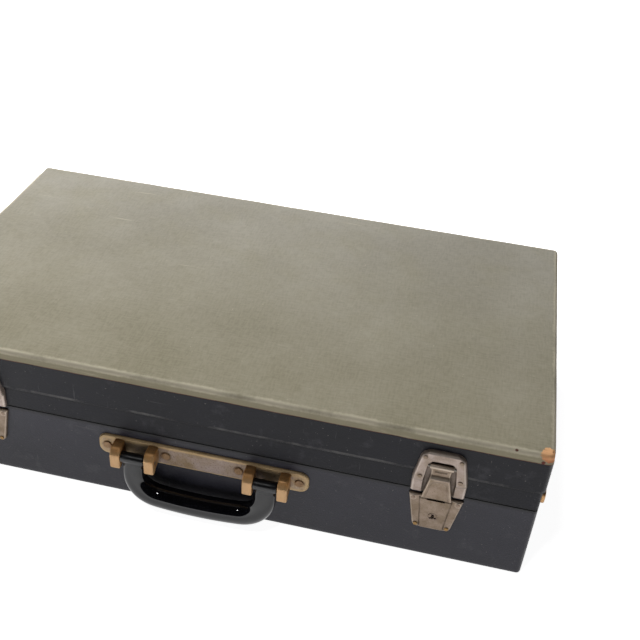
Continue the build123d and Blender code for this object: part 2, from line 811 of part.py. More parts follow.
# ---------------------------------------------------------------- locks
def lock_plates():
    """The tapered plate on the base, hollow behind, with a notch for the hook and a key hole."""
    notch_low = hook_levels()[0] - hook_lip - hook_notch_clearance
    hollow_low = lock_pocket_bottom + lock_case_wall
    hollow_width = lock_pocket_width - 2 * lock_case_wall
    for side, name in ((-1, "left"), (1, "right")):
        x = side * latch_offset
        with BuildPart() as plate:
            with BuildSketch(front_plane(0)) as shape:
                mirrored_outline(x, [(lock_plate_width / 2, lock_plate_top),
                                     (lock_plate_bottom_width / 2, lock_plate_bottom)])
                fillet(shape.vertices().group_by(Axis.Y)[0], lock_plate_corner)
                fillet(shape.vertices().group_by(Axis.Y)[-1], lock_plate_corner / 4)
            extrude(amount=lock_plate_thickness)
            fillet(plate.faces().sort_by(Axis.Y)[0].edges(), lock_plate_thickness / 4)
            with BuildSketch(front_plane(lock_plate_thickness)):
                mirrored_outline(x, [
                    (lock_panel_width / 2, lock_plate_top - lock_panel_edge),
                    (lock_panel_bottom_width / 2, lock_plate_bottom + lock_panel_edge),
                ])
            extrude(amount=lock_panel_proud, taper=lock_panel_slope)
            with BuildSketch(front_plane(0)):
                with Locations((x, hollow_low)):
                    Rectangle(hollow_width, notch_low - lock_wall - hollow_low,
                              align=(Align.CENTER, Align.MIN))
            extrude(amount=lock_face - lock_wall, mode=Mode.SUBTRACT)
            with BuildSketch(front_plane(0)):
                with Locations((x, notch_low)):
                    Rectangle(hook_notch_width, base_height - notch_low,
                              align=(Align.CENTER, Align.MIN))
            extrude(amount=2 * lock_face, mode=Mode.SUBTRACT)
            with BuildSketch(front_plane(0)):
                with Locations((x, key_level)):
                    Circle(key_radius + pin_clearance)
            extrude(amount=2 * lock_face, mode=Mode.SUBTRACT)
            pegs(front_plane(lock_plate_thickness), lock_nail_places, nail_shank_radius,
                 lock_plate_thickness)
        keep(plate, f"lock_plate_{name}")


def lock_cases():
    """The steel tray in each mortise, with two ribs that guide the catch."""
    inner_width = lock_pocket_width - 2 * lock_case_wall
    inner_length_of_tray = lock_pocket_length - 2 * lock_case_wall
    floor = lock_case_depth - lock_case_wall
    rib_x = (catch_width + lock_case_wall) / 2 + slide_clearance
    for side, name in ((-1, "left"), (1, "right")):
        x = side * latch_offset
        with BuildPart() as tray:
            with BuildSketch(front_plane(0)):
                with Locations((x, lock_middle)):
                    Rectangle(lock_pocket_width, lock_pocket_length)
            extrude(amount=-lock_case_depth)
            with BuildSketch(front_plane(0)):
                with Locations((x, lock_middle)):
                    Rectangle(inner_width, inner_length_of_tray)
            extrude(amount=-floor, mode=Mode.SUBTRACT)
            with BuildSketch(front_plane(-floor)):
                with Locations((x - rib_x, lock_pocket_bottom), (x + rib_x, lock_pocket_bottom)):
                    Rectangle(lock_case_wall, lock_pocket_length - guide_shortfall,
                              align=(Align.CENTER, Align.MIN))
            extrude(amount=floor - catch_front)
        keep(tray, f"lock_case_{name}")


def key_plugs():
    """The round plug that a key turns, flanged behind the lock plate, with a crank pin."""
    flange_face = lock_face - lock_wall - slide_clearance
    for side, name in ((-1, "left"), (1, "right")):
        x = side * latch_offset
        with BuildPart() as plug:
            with BuildSketch(front_plane(lock_face + parting_gap / 2)):
                with Locations((x, key_level)):
                    Circle(key_radius)
            extrude(amount=-(lock_face + parting_gap))
            with BuildSketch(front_plane(flange_face)):
                with Locations((x, key_level)):
                    Circle(key_flange_radius)
            extrude(amount=-flange_face)
            with BuildSketch(front_plane(0)):
                with Locations((x + crank_across, key_level - crank_across)):
                    Circle(key_crank_radius)
            extrude(amount=-(catch_back + parting_gap))
            with BuildSketch(front_plane(lock_face + parting_gap / 2)):
                with Locations((x, key_level)):
                    Rectangle(key_slot_width, key_slot_length)
                with Locations((x, key_level + key_slot_width)):
                    Circle(key_slot_width)
            extrude(amount=-key_slot_depth, mode=Mode.SUBTRACT)
        keep(plug, f"key_plug_{name}")


def catches():
    """The sliding catch behind each lock plate, with the level slot that the crank runs in."""
    arm_under = hook_levels()[0]
    top = arm_under - hook_lip - hook_notch_clearance - parting_gap
    bottom = key_level - key_radius - key_crank_radius
    slot_half = key_crank_radius + crank_clearance
    for side, name in ((-1, "left"), (1, "right")):
        x = side * latch_offset
        with BuildPart() as catch:
            with BuildSketch(front_plane(-catch_front)):
                with Locations((x, (top + bottom) / 2)):
                    Rectangle(catch_width, top - bottom)
            extrude(amount=-catch_thickness)
            with BuildSketch(front_plane(0)):
                with Locations((x + crank_across, key_level - crank_across)):
                    SlotOverall(4 * slot_half, 2 * slot_half)
            extrude(amount=-2 * catch_back, mode=Mode.SUBTRACT)
        keep(catch, f"catch_{name}")


# ---------------------------------------------------------------- handle
def handle_plate():
    """The plate on the base with four lugs bent out to hold the handle's pins."""
    top = handle_plate_level + handle_plate_height / 2
    bottom = handle_plate_level - handle_plate_height / 2
    lug_top = top - lug_top_drop
    root = handle_plate_thickness / 2
    nose = handle_pin_reach + handle_barrel_radius
    with BuildPart() as plate:
        with BuildSketch(front_plane(0)):
            with Locations((0, handle_plate_level)):
                RectangleRounded(handle_plate_length, handle_plate_height, handle_plate_corner)
        extrude(amount=handle_plate_thickness)
        chamfer(plate.faces().sort_by(Axis.Y)[0].edges(), handle_plate_thickness / 3)
        for x in (-handle_lug_outer, -handle_lug_inner, handle_lug_inner, handle_lug_outer):
            with BuildSketch(side_profile(x)) as lug:
                outline([
                    (root, lug_top), (handle_pin_reach, lug_top), (nose, lug_top - lug_slope),
                    (nose, bottom), (nose - lug_beak_depth, bottom - lug_beak),
                    (nose - handle_plate_height / 2, handle_pin_level - lug_slope),
                    (root, handle_pin_level - lug_slope),
                ])
                fillet(lug.vertices().group_by(Axis.Y)[0:2], lug_rounding)
            extrude(amount=handle_lug_width / 2, both=True)
            with BuildSketch(side_profile(x)):
                with Locations((handle_pin_reach, handle_pin_level)):
                    Circle(handle_pin_radius)
            extrude(amount=handle_lug_width, both=True, mode=Mode.SUBTRACT)
        pegs(front_plane(handle_plate_thickness), handle_rivet_places, rivet_shank_radius,
             handle_plate_thickness)
    keep(plate, "handle_plate")

    pin_middle = (handle_lug_inner + handle_lug_outer) / 2
    pin_half = (handle_lug_outer - handle_lug_inner + handle_lug_width) / 2
    with BuildPart() as pins:
        for x in (-pin_middle, pin_middle):
            with BuildSketch(side_profile(x)):
                with Locations((handle_pin_reach, handle_pin_level)):
                    Circle(handle_pin_radius)
            extrude(amount=pin_half, both=True)
    keep(pins, "handle_pins")


def handle_section(x, z, along, width, depth):
    """An oval across the handle's centre line; its width lies in the handle's own plane."""
    across = (along[2], 0, -along[0])
    plane = Plane(origin=(x, handle_pin_y, z), x_dir=across, z_dir=along)
    with BuildSketch(plane) as oval:
        Ellipse(width / 2, depth / 2)
    return oval.sketch


def handle():
    """A moulded handle: barrels on the pins, tapered arms, round elbows and a straight grip."""
    arm_x = (handle_lug_inner + handle_lug_outer) / 2
    barrel_length = handle_lug_outer - handle_lug_inner - handle_lug_width - 2 * slide_clearance
    grip_z = handle_pin_level - handle_drop
    bend_x = arm_x - handle_bend
    bend_z = grip_z + handle_bend
    with BuildPart() as grip:
        extrude(handle_section(0, grip_z, (1, 0, 0), grip_height, grip_depth),
                amount=bend_x, both=True)
        for side in (-1, 1):
            elbow = handle_section(side * bend_x, grip_z, (1, 0, 0), grip_height, grip_depth)
            bend_axis = Axis((side * bend_x, handle_pin_y, bend_z), (0, -side, 0))
            revolve(elbow, axis=bend_axis, revolution_arc=90)
            foot = handle_section(side * arm_x, bend_z, (0, 0, 1), grip_height, grip_depth)
            head = handle_section(side * arm_x, handle_pin_level, (0, 0, 1),
                                  handle_arm_width,
                                  2 * handle_barrel_radius - handle_arm_thinning)
            loft([foot.face(), head.face()])
            with BuildSketch(side_profile(side * arm_x)):
                with Locations((handle_pin_reach, handle_pin_level)):
                    Circle(handle_barrel_radius)
            extrude(amount=barrel_length / 2, both=True)
            with BuildSketch(side_profile(side * arm_x)):
                with Locations((handle_pin_reach, handle_pin_level)):
                    Circle(handle_pin_radius + pin_clearance)
            extrude(amount=barrel_length, both=True, mode=Mode.SUBTRACT)
    keep(grip, "handle")


def hinges():
    """Two stop hinges: a leaf on each box, knuckles in turn, a pin, and the lid leaf's stop."""
    knuckle = hinge_length / hinge_knuckles
    pivot = (hinge_knuckle_radius, base_height)
    for side, name in ((-1, "left"), (1, "right")):
        x = side * hinge_offset
        starts = [x - hinge_length / 2 + knuckle * count for count in range(hinge_knuckles)]
        with BuildPart() as base_leaf:
            with BuildSketch(rear_plane(0)):
                with Locations((-x, base_leaf_top - hinge_base_leaf / 2)):
                    RectangleRounded(hinge_length, hinge_base_leaf, 2 * hinge_sheet)
            extrude(amount=hinge_sheet)
            for start in starts[0::2]:
                hinge_knuckle(start, knuckle, base_height - hinge_leaf_gap - hinge_sheet)
            hinge_bore(x)
            pegs(rear_plane(hinge_sheet), [(-column, level) for column, level in
                 base_hinge_rivet_places], rivet_shank_radius, hinge_sheet)
        keep(base_leaf, f"hinge_base_leaf_{name}")

        with BuildPart() as lid_leaf:
            with BuildSketch(rear_plane(0)):
                with Locations((-x, lid_leaf_bottom + hinge_lid_leaf / 2)):
                    RectangleRounded(hinge_length, hinge_lid_leaf, 2 * hinge_sheet)
            extrude(amount=hinge_sheet)
            for start in starts[1::2]:
                hinge_knuckle(start, knuckle, base_height + hinge_leaf_gap + hinge_sheet)
                middle = start + knuckle / 2
                with BuildSketch(rear_profile(middle)):
                    with Locations((hinge_knuckle_radius, base_height)):
                        Rectangle(hinge_stop_length, hinge_stop_thickness,
                                  align=(Align.MIN, Align.MIN))
                extrude(amount=knuckle / 2 - hinge_knuckle_gap / 2, both=True)
            hinge_bore(x)
            pegs(rear_plane(hinge_sheet), [(-column, level) for column, level in
                 lid_hinge_rivet_places], rivet_shank_radius, hinge_sheet)
        keep(lid_leaf, f"hinge_lid_leaf_{name}")

        with BuildPart() as pin:
            with BuildSketch(rear_profile(x)):
                with Locations(pivot):
                    Circle(hinge_pin_radius)
            extrude(amount=hinge_length / 2, both=True)
        keep(pin, f"hinge_pin_{name}")


def hinge_knuckle(start, length, root_level):
    """One knuckle of a hinge leaf, with the web that joins it to the leaf."""
    middle = start + length / 2
    with BuildSketch(rear_profile(middle)) as shape:
        with Locations((hinge_knuckle_radius, base_height)):
            Circle(hinge_knuckle_radius)
        with Locations((hinge_sheet / 2, (base_height + root_level) / 2)):
            Rectangle(hinge_sheet, abs(base_height - root_level))
    extrude(shape.sketch, amount=(length - hinge_knuckle_gap) / 2, both=True)


def hinge_bore(x):
    """The hole for a hinge pin through all its knuckles."""
    with BuildSketch(rear_profile(x)) as hole:
        with Locations((hinge_knuckle_radius, base_height)):
            Circle(hinge_pin_radius + pin_clearance)
    extrude(hole.sketch, amount=hinge_length, both=True, mode=Mode.SUBTRACT)


base_box()
base_covering()
base_lining()
partitions()
accessory_lid()
mouthpiece_block()
trumpet_rests()
lid_box()
lid_covering()
lid_lining()
end_plates()
latch_plates()
hasps()
lock_plates()
lock_cases()
key_plugs()
catches()
handle_plate()
handle()
hinges()
headed_pegs("handle_plate_rivets", front_plane(handle_plate_thickness), handle_rivet_places,
            handle_rivet_head_radius, rivet_head_height, rivet_shank_radius,
            handle_plate_thickness + rivet_depth)
headed_pegs("lock_plate_rivets", front_plane(lock_plate_thickness), lock_nail_places,
            nail_head_radius, nail_head_height, nail_shank_radius,
            lock_plate_thickness + rivet_depth)
headed_pegs("latch_plate_rivets", front_plane(hoop + latch_plate_proud), latch_nail_places,
            nail_head_radius, nail_head_height, nail_shank_radius,
            hoop + latch_plate_proud + rivet_depth)
headed_pegs("base_hinge_rivets", rear_plane(hinge_sheet), base_hinge_rivet_places,
            rivet_head_radius, rivet_head_height, rivet_shank_radius, hinge_sheet + rivet_depth)
headed_pegs("lid_hinge_rivets", rear_plane(hinge_sheet), lid_hinge_rivet_places,
            rivet_head_radius, rivet_head_height, rivet_shank_radius, hinge_sheet + rivet_depth)
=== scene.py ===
# %% [markdown]
# # A hard-sided trumpet case
# The real thing is two shallow wooden boxes, hinged at the rear. The sides are covered in
# black leathercloth, the lid's top in grey book cloth, and the metalwork is pressed sheet.
# A measured model of every part is already there. This lesson loads it as a fixed frame
# and builds the softer, rounder and more worn surfaces of the real case round it.

# %% Load the frame
import math

import bmesh
import bpy
import numpy as np
from mathutils import Matrix, Vector


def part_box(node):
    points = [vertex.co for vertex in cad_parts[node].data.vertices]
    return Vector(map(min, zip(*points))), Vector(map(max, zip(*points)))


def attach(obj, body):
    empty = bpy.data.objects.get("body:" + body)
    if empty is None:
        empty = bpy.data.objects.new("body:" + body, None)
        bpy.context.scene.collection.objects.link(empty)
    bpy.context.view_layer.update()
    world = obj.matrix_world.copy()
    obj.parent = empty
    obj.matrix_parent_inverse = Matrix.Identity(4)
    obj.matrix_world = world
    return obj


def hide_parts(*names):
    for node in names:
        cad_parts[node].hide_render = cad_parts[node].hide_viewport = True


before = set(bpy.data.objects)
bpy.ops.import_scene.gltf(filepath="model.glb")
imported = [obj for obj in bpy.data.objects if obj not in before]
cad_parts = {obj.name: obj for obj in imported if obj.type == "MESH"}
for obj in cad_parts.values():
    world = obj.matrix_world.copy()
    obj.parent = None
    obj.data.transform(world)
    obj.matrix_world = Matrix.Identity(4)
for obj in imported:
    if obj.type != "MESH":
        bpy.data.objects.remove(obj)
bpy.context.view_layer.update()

MM = 0.001

# %% [markdown]
# ## Sizes that the new pieces share
# Every piece is placed from the measured model, so that nothing has to be fitted by eye.
# Lengths along the case are x, the front looks to -y, and z is up.

# %% Read the levels from the measured parts
def low_high(node):
    """The lowest and highest corner of a measured part, in millimetres."""
    low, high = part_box(node)
    return np.array(low) / MM, np.array(high) / MM


skin_low, skin_high = low_high("base_side_covering")
cap_low, cap_high = low_high("lid_top_cloth")
front_face = -skin_low[1]
shell_half = skin_high[:2]
case_half = cap_high[:2]
rim_level = skin_high[2]
lid_level = low_high("lid_lower_covering")[0][2]
ridge = low_high("lid_upper_covering")[0][2]
cloth_edge = cap_low[2]
case_top = cap_high[2]
board = 7.0
skin = 0.8
film = 0.1
print("front face", front_face, "rim", rim_level, "ridge", ridge, "top", case_top)

# %% [markdown]
# ## Surfaces from numpy
# A surface here is a grid of points worked out as whole arrays. Two like grids, an outer
# and an inner one, make a closed shell: quads on both, and a narrow wall wherever the
# sheet ends or has a hole. One function does this for every skin, plate and tongue.
# Another makes a closed tube from a grid whose rows are rings.

# %% Closed shells from two grids
def grid_quads(rows, cols, rows_meet=False, cols_meet=True):
    """Quads of one grid; where its rows or columns meet, the last one joins the first."""
    i, j = np.meshgrid(np.arange(rows if rows_meet else rows - 1),
                       np.arange(cols if cols_meet else cols - 1), indexing="ij")
    down, right = (i + 1) % rows, (j + 1) % cols
    return np.stack([i * cols + j, i * cols + right, down * cols + right, down * cols + j],
                    -1).reshape(-1, 4)


def tube_faces(rows, cols):
    """Quads of a closed tube: the columns wrap round, and each end is closed by one face."""
    last = (rows - 1) * cols
    return grid_quads(rows, cols).tolist() + [list(range(cols))[::-1],
                                              list(range(last, last + cols))]


def shell_faces(rows, cols, wrap=False, keep=None, meets=False):
    """Quads of two stacked grids and their walls; keep says which quads of a grid exist.

    A quad joins a point to its neighbours one row and one column on. A wall stands on each
    edge of a kept quad whose neighbour across that edge is not kept. Where the first row
    folds shut on itself, as in the middle of a sheet, meets leaves out its wall.
    """
    spans = cols if wrap else cols - 1
    if keep is None:
        keep = np.ones((rows - 1, spans), bool)
    i, j = np.meshgrid(np.arange(rows - 1), np.arange(spans), indexing="ij")
    right = (j + 1) % cols
    corners = [i * cols + j, (i + 1) * cols + j, (i + 1) * cols + right, i * cols + right]
    padded = np.pad(keep, ((1, 1), (0, 0)))
    if meets:
        padded[0] = keep[0]
    if wrap:
        left_of, right_of = np.roll(keep, 1, 1), np.roll(keep, -1, 1)
    else:
        wide = np.pad(keep, ((0, 0), (1, 1)))
        left_of, right_of = wide[:, :-2], wide[:, 2:]
    neighbours = [left_of, padded[2:], right_of, padded[:-2]]
    outer = np.stack([c[keep] for c in corners], -1)
    count = rows * cols
    parts = [outer, outer[:, ::-1] + count]
    for side, neighbour in enumerate(neighbours):
        edge = keep & ~neighbour
        a, b = corners[side][edge], corners[(side + 1) % 4][edge]
        parts.append(np.stack([b, a, a + count, b + count], -1))
    return np.concatenate(parts)


# %% [markdown]
# ## From points to a finished object
# The points go in as millimetres and come out as metres. Doubles are merged, loose points
# under a hole are deleted and the normals are recalculated, because both the grids' seams
# and mirrored shapes need it. Values such as wear or cloth coordinates are stored on the
# points, for the materials to read.

# %% Make a piece
same_place = 2e-6
no_length = 1e-7


def make_piece(name, body, finish, points, faces, values=None, crease=40,
               replaces=()):
    """One closed object in the frame's own place, riding on a body of the measured model."""
    mesh = bpy.data.meshes.new(name)
    flat = np.asarray(points, float).reshape(-1, 3) * MM
    mesh.from_pydata(flat.tolist(), [], np.asarray(faces).tolist()
                     if isinstance(faces, np.ndarray) else faces)
    for label, value in (values or {}).items():
        value = np.asarray(value, float)
        kind = "FLOAT" if value.size == len(flat) else "FLOAT_VECTOR"
        layer = mesh.attributes.new(label, kind, "POINT")
        layer.data.foreach_set("value" if kind == "FLOAT" else "vector", value.ravel())
    work = bmesh.new()
    work.from_mesh(mesh)
    bmesh.ops.remove_doubles(work, verts=work.verts, dist=same_place)
    bmesh.ops.dissolve_degenerate(work, edges=work.edges, dist=no_length)
    loose = [v for v in work.verts if not v.link_faces]
    bmesh.ops.delete(work, geom=loose, context="VERTS")
    bmesh.ops.recalc_face_normals(work, faces=work.faces)
    if work.calc_volume(signed=True) < 0:
        bmesh.ops.reverse_faces(work, faces=work.faces)
    work.to_mesh(mesh)
    work.free()
    mesh.polygons.foreach_set("use_smooth", [True] * len(mesh.polygons))
    mesh.set_sharp_from_angle(angle=math.radians(crease))
    mesh.materials.append(finish)
    piece = bpy.data.objects.new(name, mesh)
    bpy.context.scene.collection.objects.link(piece)
    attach(piece, body)
    if replaces:
        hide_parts(*replaces)
    print(name, len(mesh.vertices), "points")
    return piece


def make_sheet(name, body, finish, outer, inner, values=None, crease=50,
               wrap=False, keep=None, meets=False, replaces=()):
    """The closed shell between two like grids, with the same values on both of them."""
    rows, cols = outer.shape[:2]
    doubled = {label: np.concatenate([value, value])
               for label, value in (values or {}).items()}
    return make_piece(name, body, finish, np.concatenate([outer, inner]),
                      shell_faces(rows, cols, wrap, keep, meets), doubled, crease, replaces)


def join_parts(parts):
    """Several (points, faces) shells as one list of points and one list of faces."""
    points, faces, start = [], [], 0
    for part_points, part_faces in parts:
        part_points = np.asarray(part_points, float).reshape(-1, 3)
        points.append(part_points)
        faces += [[int(k) + start for k in face] for face in part_faces]
        start += len(part_points)
    return np.concatenate(points), faces


# %% [markdown]
# ## A little unevenness
# Nothing glued, padded or hammered is perfectly flat. A sum of a few sine waves with
# seeded directions gives the same gentle unevenness at every run. Smooth steps, bells and
# quarter circles are the other curves that shapes and wear are put together from.

# %% Ripple and smooth curves
def ripple(points, size, seed):
    """Smooth unevenness, mostly within -1 to 1: twice the mean of eight waves about size long."""
    draw = np.random.default_rng(seed)
    waves = draw.normal(size=(8, 3))
    waves /= np.linalg.norm(waves, axis=1, keepdims=True)
    waves *= 2 * np.pi / size * draw.uniform(0.6, 1.7, (8, 1))
    phase = draw.uniform(0, 2 * np.pi, 8)
    return np.sin(np.asarray(points) @ waves.T + phase).mean(-1) * 2


def step(value, low, high):
    """0 below low, 1 above high, and a smooth S between."""
    t = np.clip((value - low) / (high - low), 0, 1)
    return t * t * (3 - 2 * t)


def bell(value, middle, width):
    """1 at the middle, falling away to both sides: e to the minus square of the widths off."""
    return np.exp(-((value - middle) / width) ** 2)


def rounded(distance, radius):
    """Height of a rounded rim: a quarter circle over the distance from the edge, 0 to 1."""
    t = np.clip(distance / radius, 0, 1)
    return np.sqrt(1 - (1 - t) ** 2)


def corner_cut(past, radius):
    """How far a round corner falls back: the radius less the circle's height, past its start."""
    past = np.clip(past, 0, radius)
    return radius - np.sqrt(radius ** 2 - past ** 2)


# %% [markdown]
# ## The camera
# The case is seen from the front and above, a little from the right, with the camera
# slightly rolled. The view is set by turning three axes and stepping back along the last.
# Places and distances are in lengths of the case, and the lens is its sensor's width times
# the distance at which it takes in one unit of width.

# %% Aim the camera
case_length = 0.55
azimuth, elevation, roll = (math.radians(v) for v in (9.466, 36.143, 4.559))
look_at = Vector((0.0706, 0.2734, 0.0)) * case_length
away = 1.8765 * case_length
back = Vector((math.sin(azimuth) * math.cos(elevation),
               -math.cos(azimuth) * math.cos(elevation), math.sin(elevation)))
across = Vector((math.cos(azimuth), math.sin(azimuth), 0))
upward = back.cross(across)
right_axis = across * math.cos(roll) + upward * math.sin(roll)
up_axis = upward * math.cos(roll) - across * math.sin(roll)
lens = bpy.data.cameras.new("camera")
lens.sensor_width = 36.0
distance_per_width = 916.0 / 640
lens.lens = distance_per_width * lens.sensor_width
lens.clip_start = 0.01
camera = bpy.data.objects.new("camera", lens)
place = look_at + back * away
camera.matrix_world = Matrix(((right_axis.x, up_axis.x, back.x, place.x),
                              (right_axis.y, up_axis.y, back.y, place.y),
                              (right_axis.z, up_axis.z, back.z, place.z), (0, 0, 0, 1)))
bpy.context.scene.collection.objects.link(camera)
bpy.context.scene.camera = camera
print("camera at", [round(v, 4) for v in place], "lens", round(lens.lens, 2))

# %% [markdown]
# ## Floor and light
# A plain white floor runs far beyond the view. It glows a little of its own, as a lit
# sheet of white film does, so that it stays white under the case and lights the sides from
# below. One soft panel stands behind and to the left, which makes the cloth's far corner
# the brightest. The surroundings are pale behind the case and dark in front of it, so that
# black gloss stays black, and two small lamps in front put short bright marks on it.

# %% Set the stage
def paint(red, green, blue):
    """A colour given as on a screen, 0 to 255, as the linear values that shaders use."""
    share = np.array([red, green, blue]) / 255
    line = np.where(share <= 0.04045, share / 12.92, ((share + 0.055) / 1.055) ** 2.4)
    return (*line.tolist(), 1.0)


def set_inputs(node, values):
    """Sets a node's sockets by their labels or numbers."""
    for label, value in values.items():
        node.inputs[label].default_value = value


def panel(name, place, aim, size, power):
    """A square soft light of that size in metres, turned to face a point."""
    light = bpy.data.lights.new(name, "AREA")
    light.shape = "SQUARE"
    light.size = size
    light.energy = power
    lamp = bpy.data.objects.new(name, light)
    lamp.location = place
    lamp.rotation_euler = (Vector(aim) - Vector(place)).to_track_quat("-Z", "Y").to_euler()
    bpy.context.scene.collection.objects.link(lamp)


floor_mesh = bpy.data.meshes.new("floor")
reach = 80.0
floor_mesh.from_pydata([(-reach, -reach, 0), (reach, -reach, 0), (reach, reach, 0),
                        (-reach, reach, 0)], [], [(0, 1, 2, 3)])
floor_finish = bpy.data.materials.new("floor_paper")
floor_finish.use_nodes = True
set_inputs(floor_finish.node_tree.nodes["Principled BSDF"],
           {"Base Color": (0.93, 0.93, 0.93, 1), "Roughness": 0.9,
            "Specular IOR Level": 0.1, "Emission Color": (1.0, 1.0, 1.0, 1),
            "Emission Strength": 0.95})
floor_mesh.materials.append(floor_finish)
floor = bpy.data.objects.new("floor", floor_mesh)
bpy.context.scene.collection.objects.link(floor)

world = bpy.data.worlds.new("studio")
world.use_nodes = True
sky = world.node_tree.nodes["Background"]
looking = world.node_tree.nodes.new("ShaderNodeTexCoord")
apart = world.node_tree.nodes.new("ShaderNodeSeparateXYZ")
fade = world.node_tree.nodes.new("ShaderNodeMapRange")
world.node_tree.links.new(looking.outputs["Generated"], apart.inputs[0])
world.node_tree.links.new(apart.outputs["Y"], fade.inputs[0])
dark_y, pale_y, dark_strength, pale_strength = -0.7, 0.5, 0.11, 0.5
set_inputs(fade, {1: dark_y, 2: pale_y, 3: dark_strength, 4: pale_strength})
world.node_tree.links.new(fade.outputs[0], sky.inputs["Strength"])
bpy.context.scene.world = world
bpy.context.scene.view_settings.view_transform = "Standard"
panel("key_panel", (-1.0, 0.85, 1.45), aim=(-0.05, 0, 0.1), size=1.1, power=53)
for name, glint_x in (("glint_left", -0.67), ("glint_right", -0.07)):
    panel(name, (glint_x, -0.75, 1.5), aim=(0, -0.16, 0.05), size=0.09, power=1.7)
print("floor, world, one panel and two lamps")

# %% [markdown]
# ## Materials from nodes
# All finishes are worked out from nodes: noise for blotches, stretched noise for scratches,
# sine waves for threads. A few small helpers keep each recipe short: one adds a node and
# wires it, one mixes two colours, one turns a pattern into a mask, and one lays a colour
# over the tone so far, wherever a pattern is high.

# %% Shader helpers
def add(tree, kind, inputs=None, **settings):
    """A new shader node with its settings and its inputs, each a value or another's output."""
    node = tree.nodes.new("ShaderNode" + kind)
    for label, value in settings.items():
        setattr(node, label, value)
    for label, value in (inputs or {}).items():
        if isinstance(value, bpy.types.NodeSocket):
            tree.links.new(value, node.inputs[label])
        else:
            node.inputs[label].default_value = value
    return node


def new_finish(name, roughness, metallic=0.0, specular=0.5):
    """A material and its tree, with what is the same all over set on the shader."""
    finish = bpy.data.materials.new(name)
    finish.use_nodes = True
    tree = finish.node_tree
    shader = tree.nodes["Principled BSDF"]
    set_inputs(shader, {"Roughness": roughness, "Metallic": metallic,
                        "Specular IOR Level": specular})
    return finish, tree, shader


def mixed(tree, share, first, second):
    """The first colour turning into the second as share goes from 0 to 1."""
    return add(tree, "Mix", {0: share, 6: first, 7: second}, data_type="RGBA").outputs[2]


def mask(tree, pattern, low, high, top=1.0):
    """0 where the pattern is below low, top where it is above high."""
    node = add(tree, "MapRange", {0: pattern, 1: low, 2: high, 3: 0.0, 4: top})
    return node.outputs[0]


def laid_over(tree, tone, pattern, low, high, top, colour):
    """The tone with a colour over it: none where the pattern is below low, top above high."""
    return mixed(tree, mask(tree, pattern, low, high, top), tone, colour)


def clouds(tree, at, scale, detail=4.0, roughness=0.55, stretch=None, distortion=0.0):
    """Noise of about 1 / scale metres; stretch scales x, y and z before it."""
    if stretch:
        at = add(tree, "Mapping", {0: at, 3: stretch}).outputs[0]
    node = add(tree, "TexNoise", {"Vector": at, "Scale": scale, "Detail": detail,
                                  "Roughness": roughness, "Distortion": distortion})
    return node.outputs[0]


def maths(tree, operation, first, second=0.0):
    """One operation on two numbers or patterns."""
    return add(tree, "Math", {0: first, 1: second}, operation=operation).outputs[0]


def plus(tree, base, pattern, amount):
    """The base with an amount of a second pattern added."""
    return maths(tree, "ADD", base, maths(tree, "MULTIPLY", pattern, amount))


def object_place(tree):
    """The point's own place in metres."""
    return add(tree, "TexCoord").outputs["Object"]


def stored(tree, label, kind="Fac"):
    """A value stored on the mesh's points."""
    return add(tree, "Attribute", attribute_name=label).outputs[kind]


def coated(tree, shader, tone, height, distance):
    """Wires a colour to the shader, and relief that many metres high for each 1 of height."""
    tree.links.new(tone, shader.inputs["Base Color"])
    node = add(tree, "Bump", {"Height": height, "Distance": distance, "Strength": 1.0})
    tree.links.new(node.outputs[0], shader.inputs["Normal"])
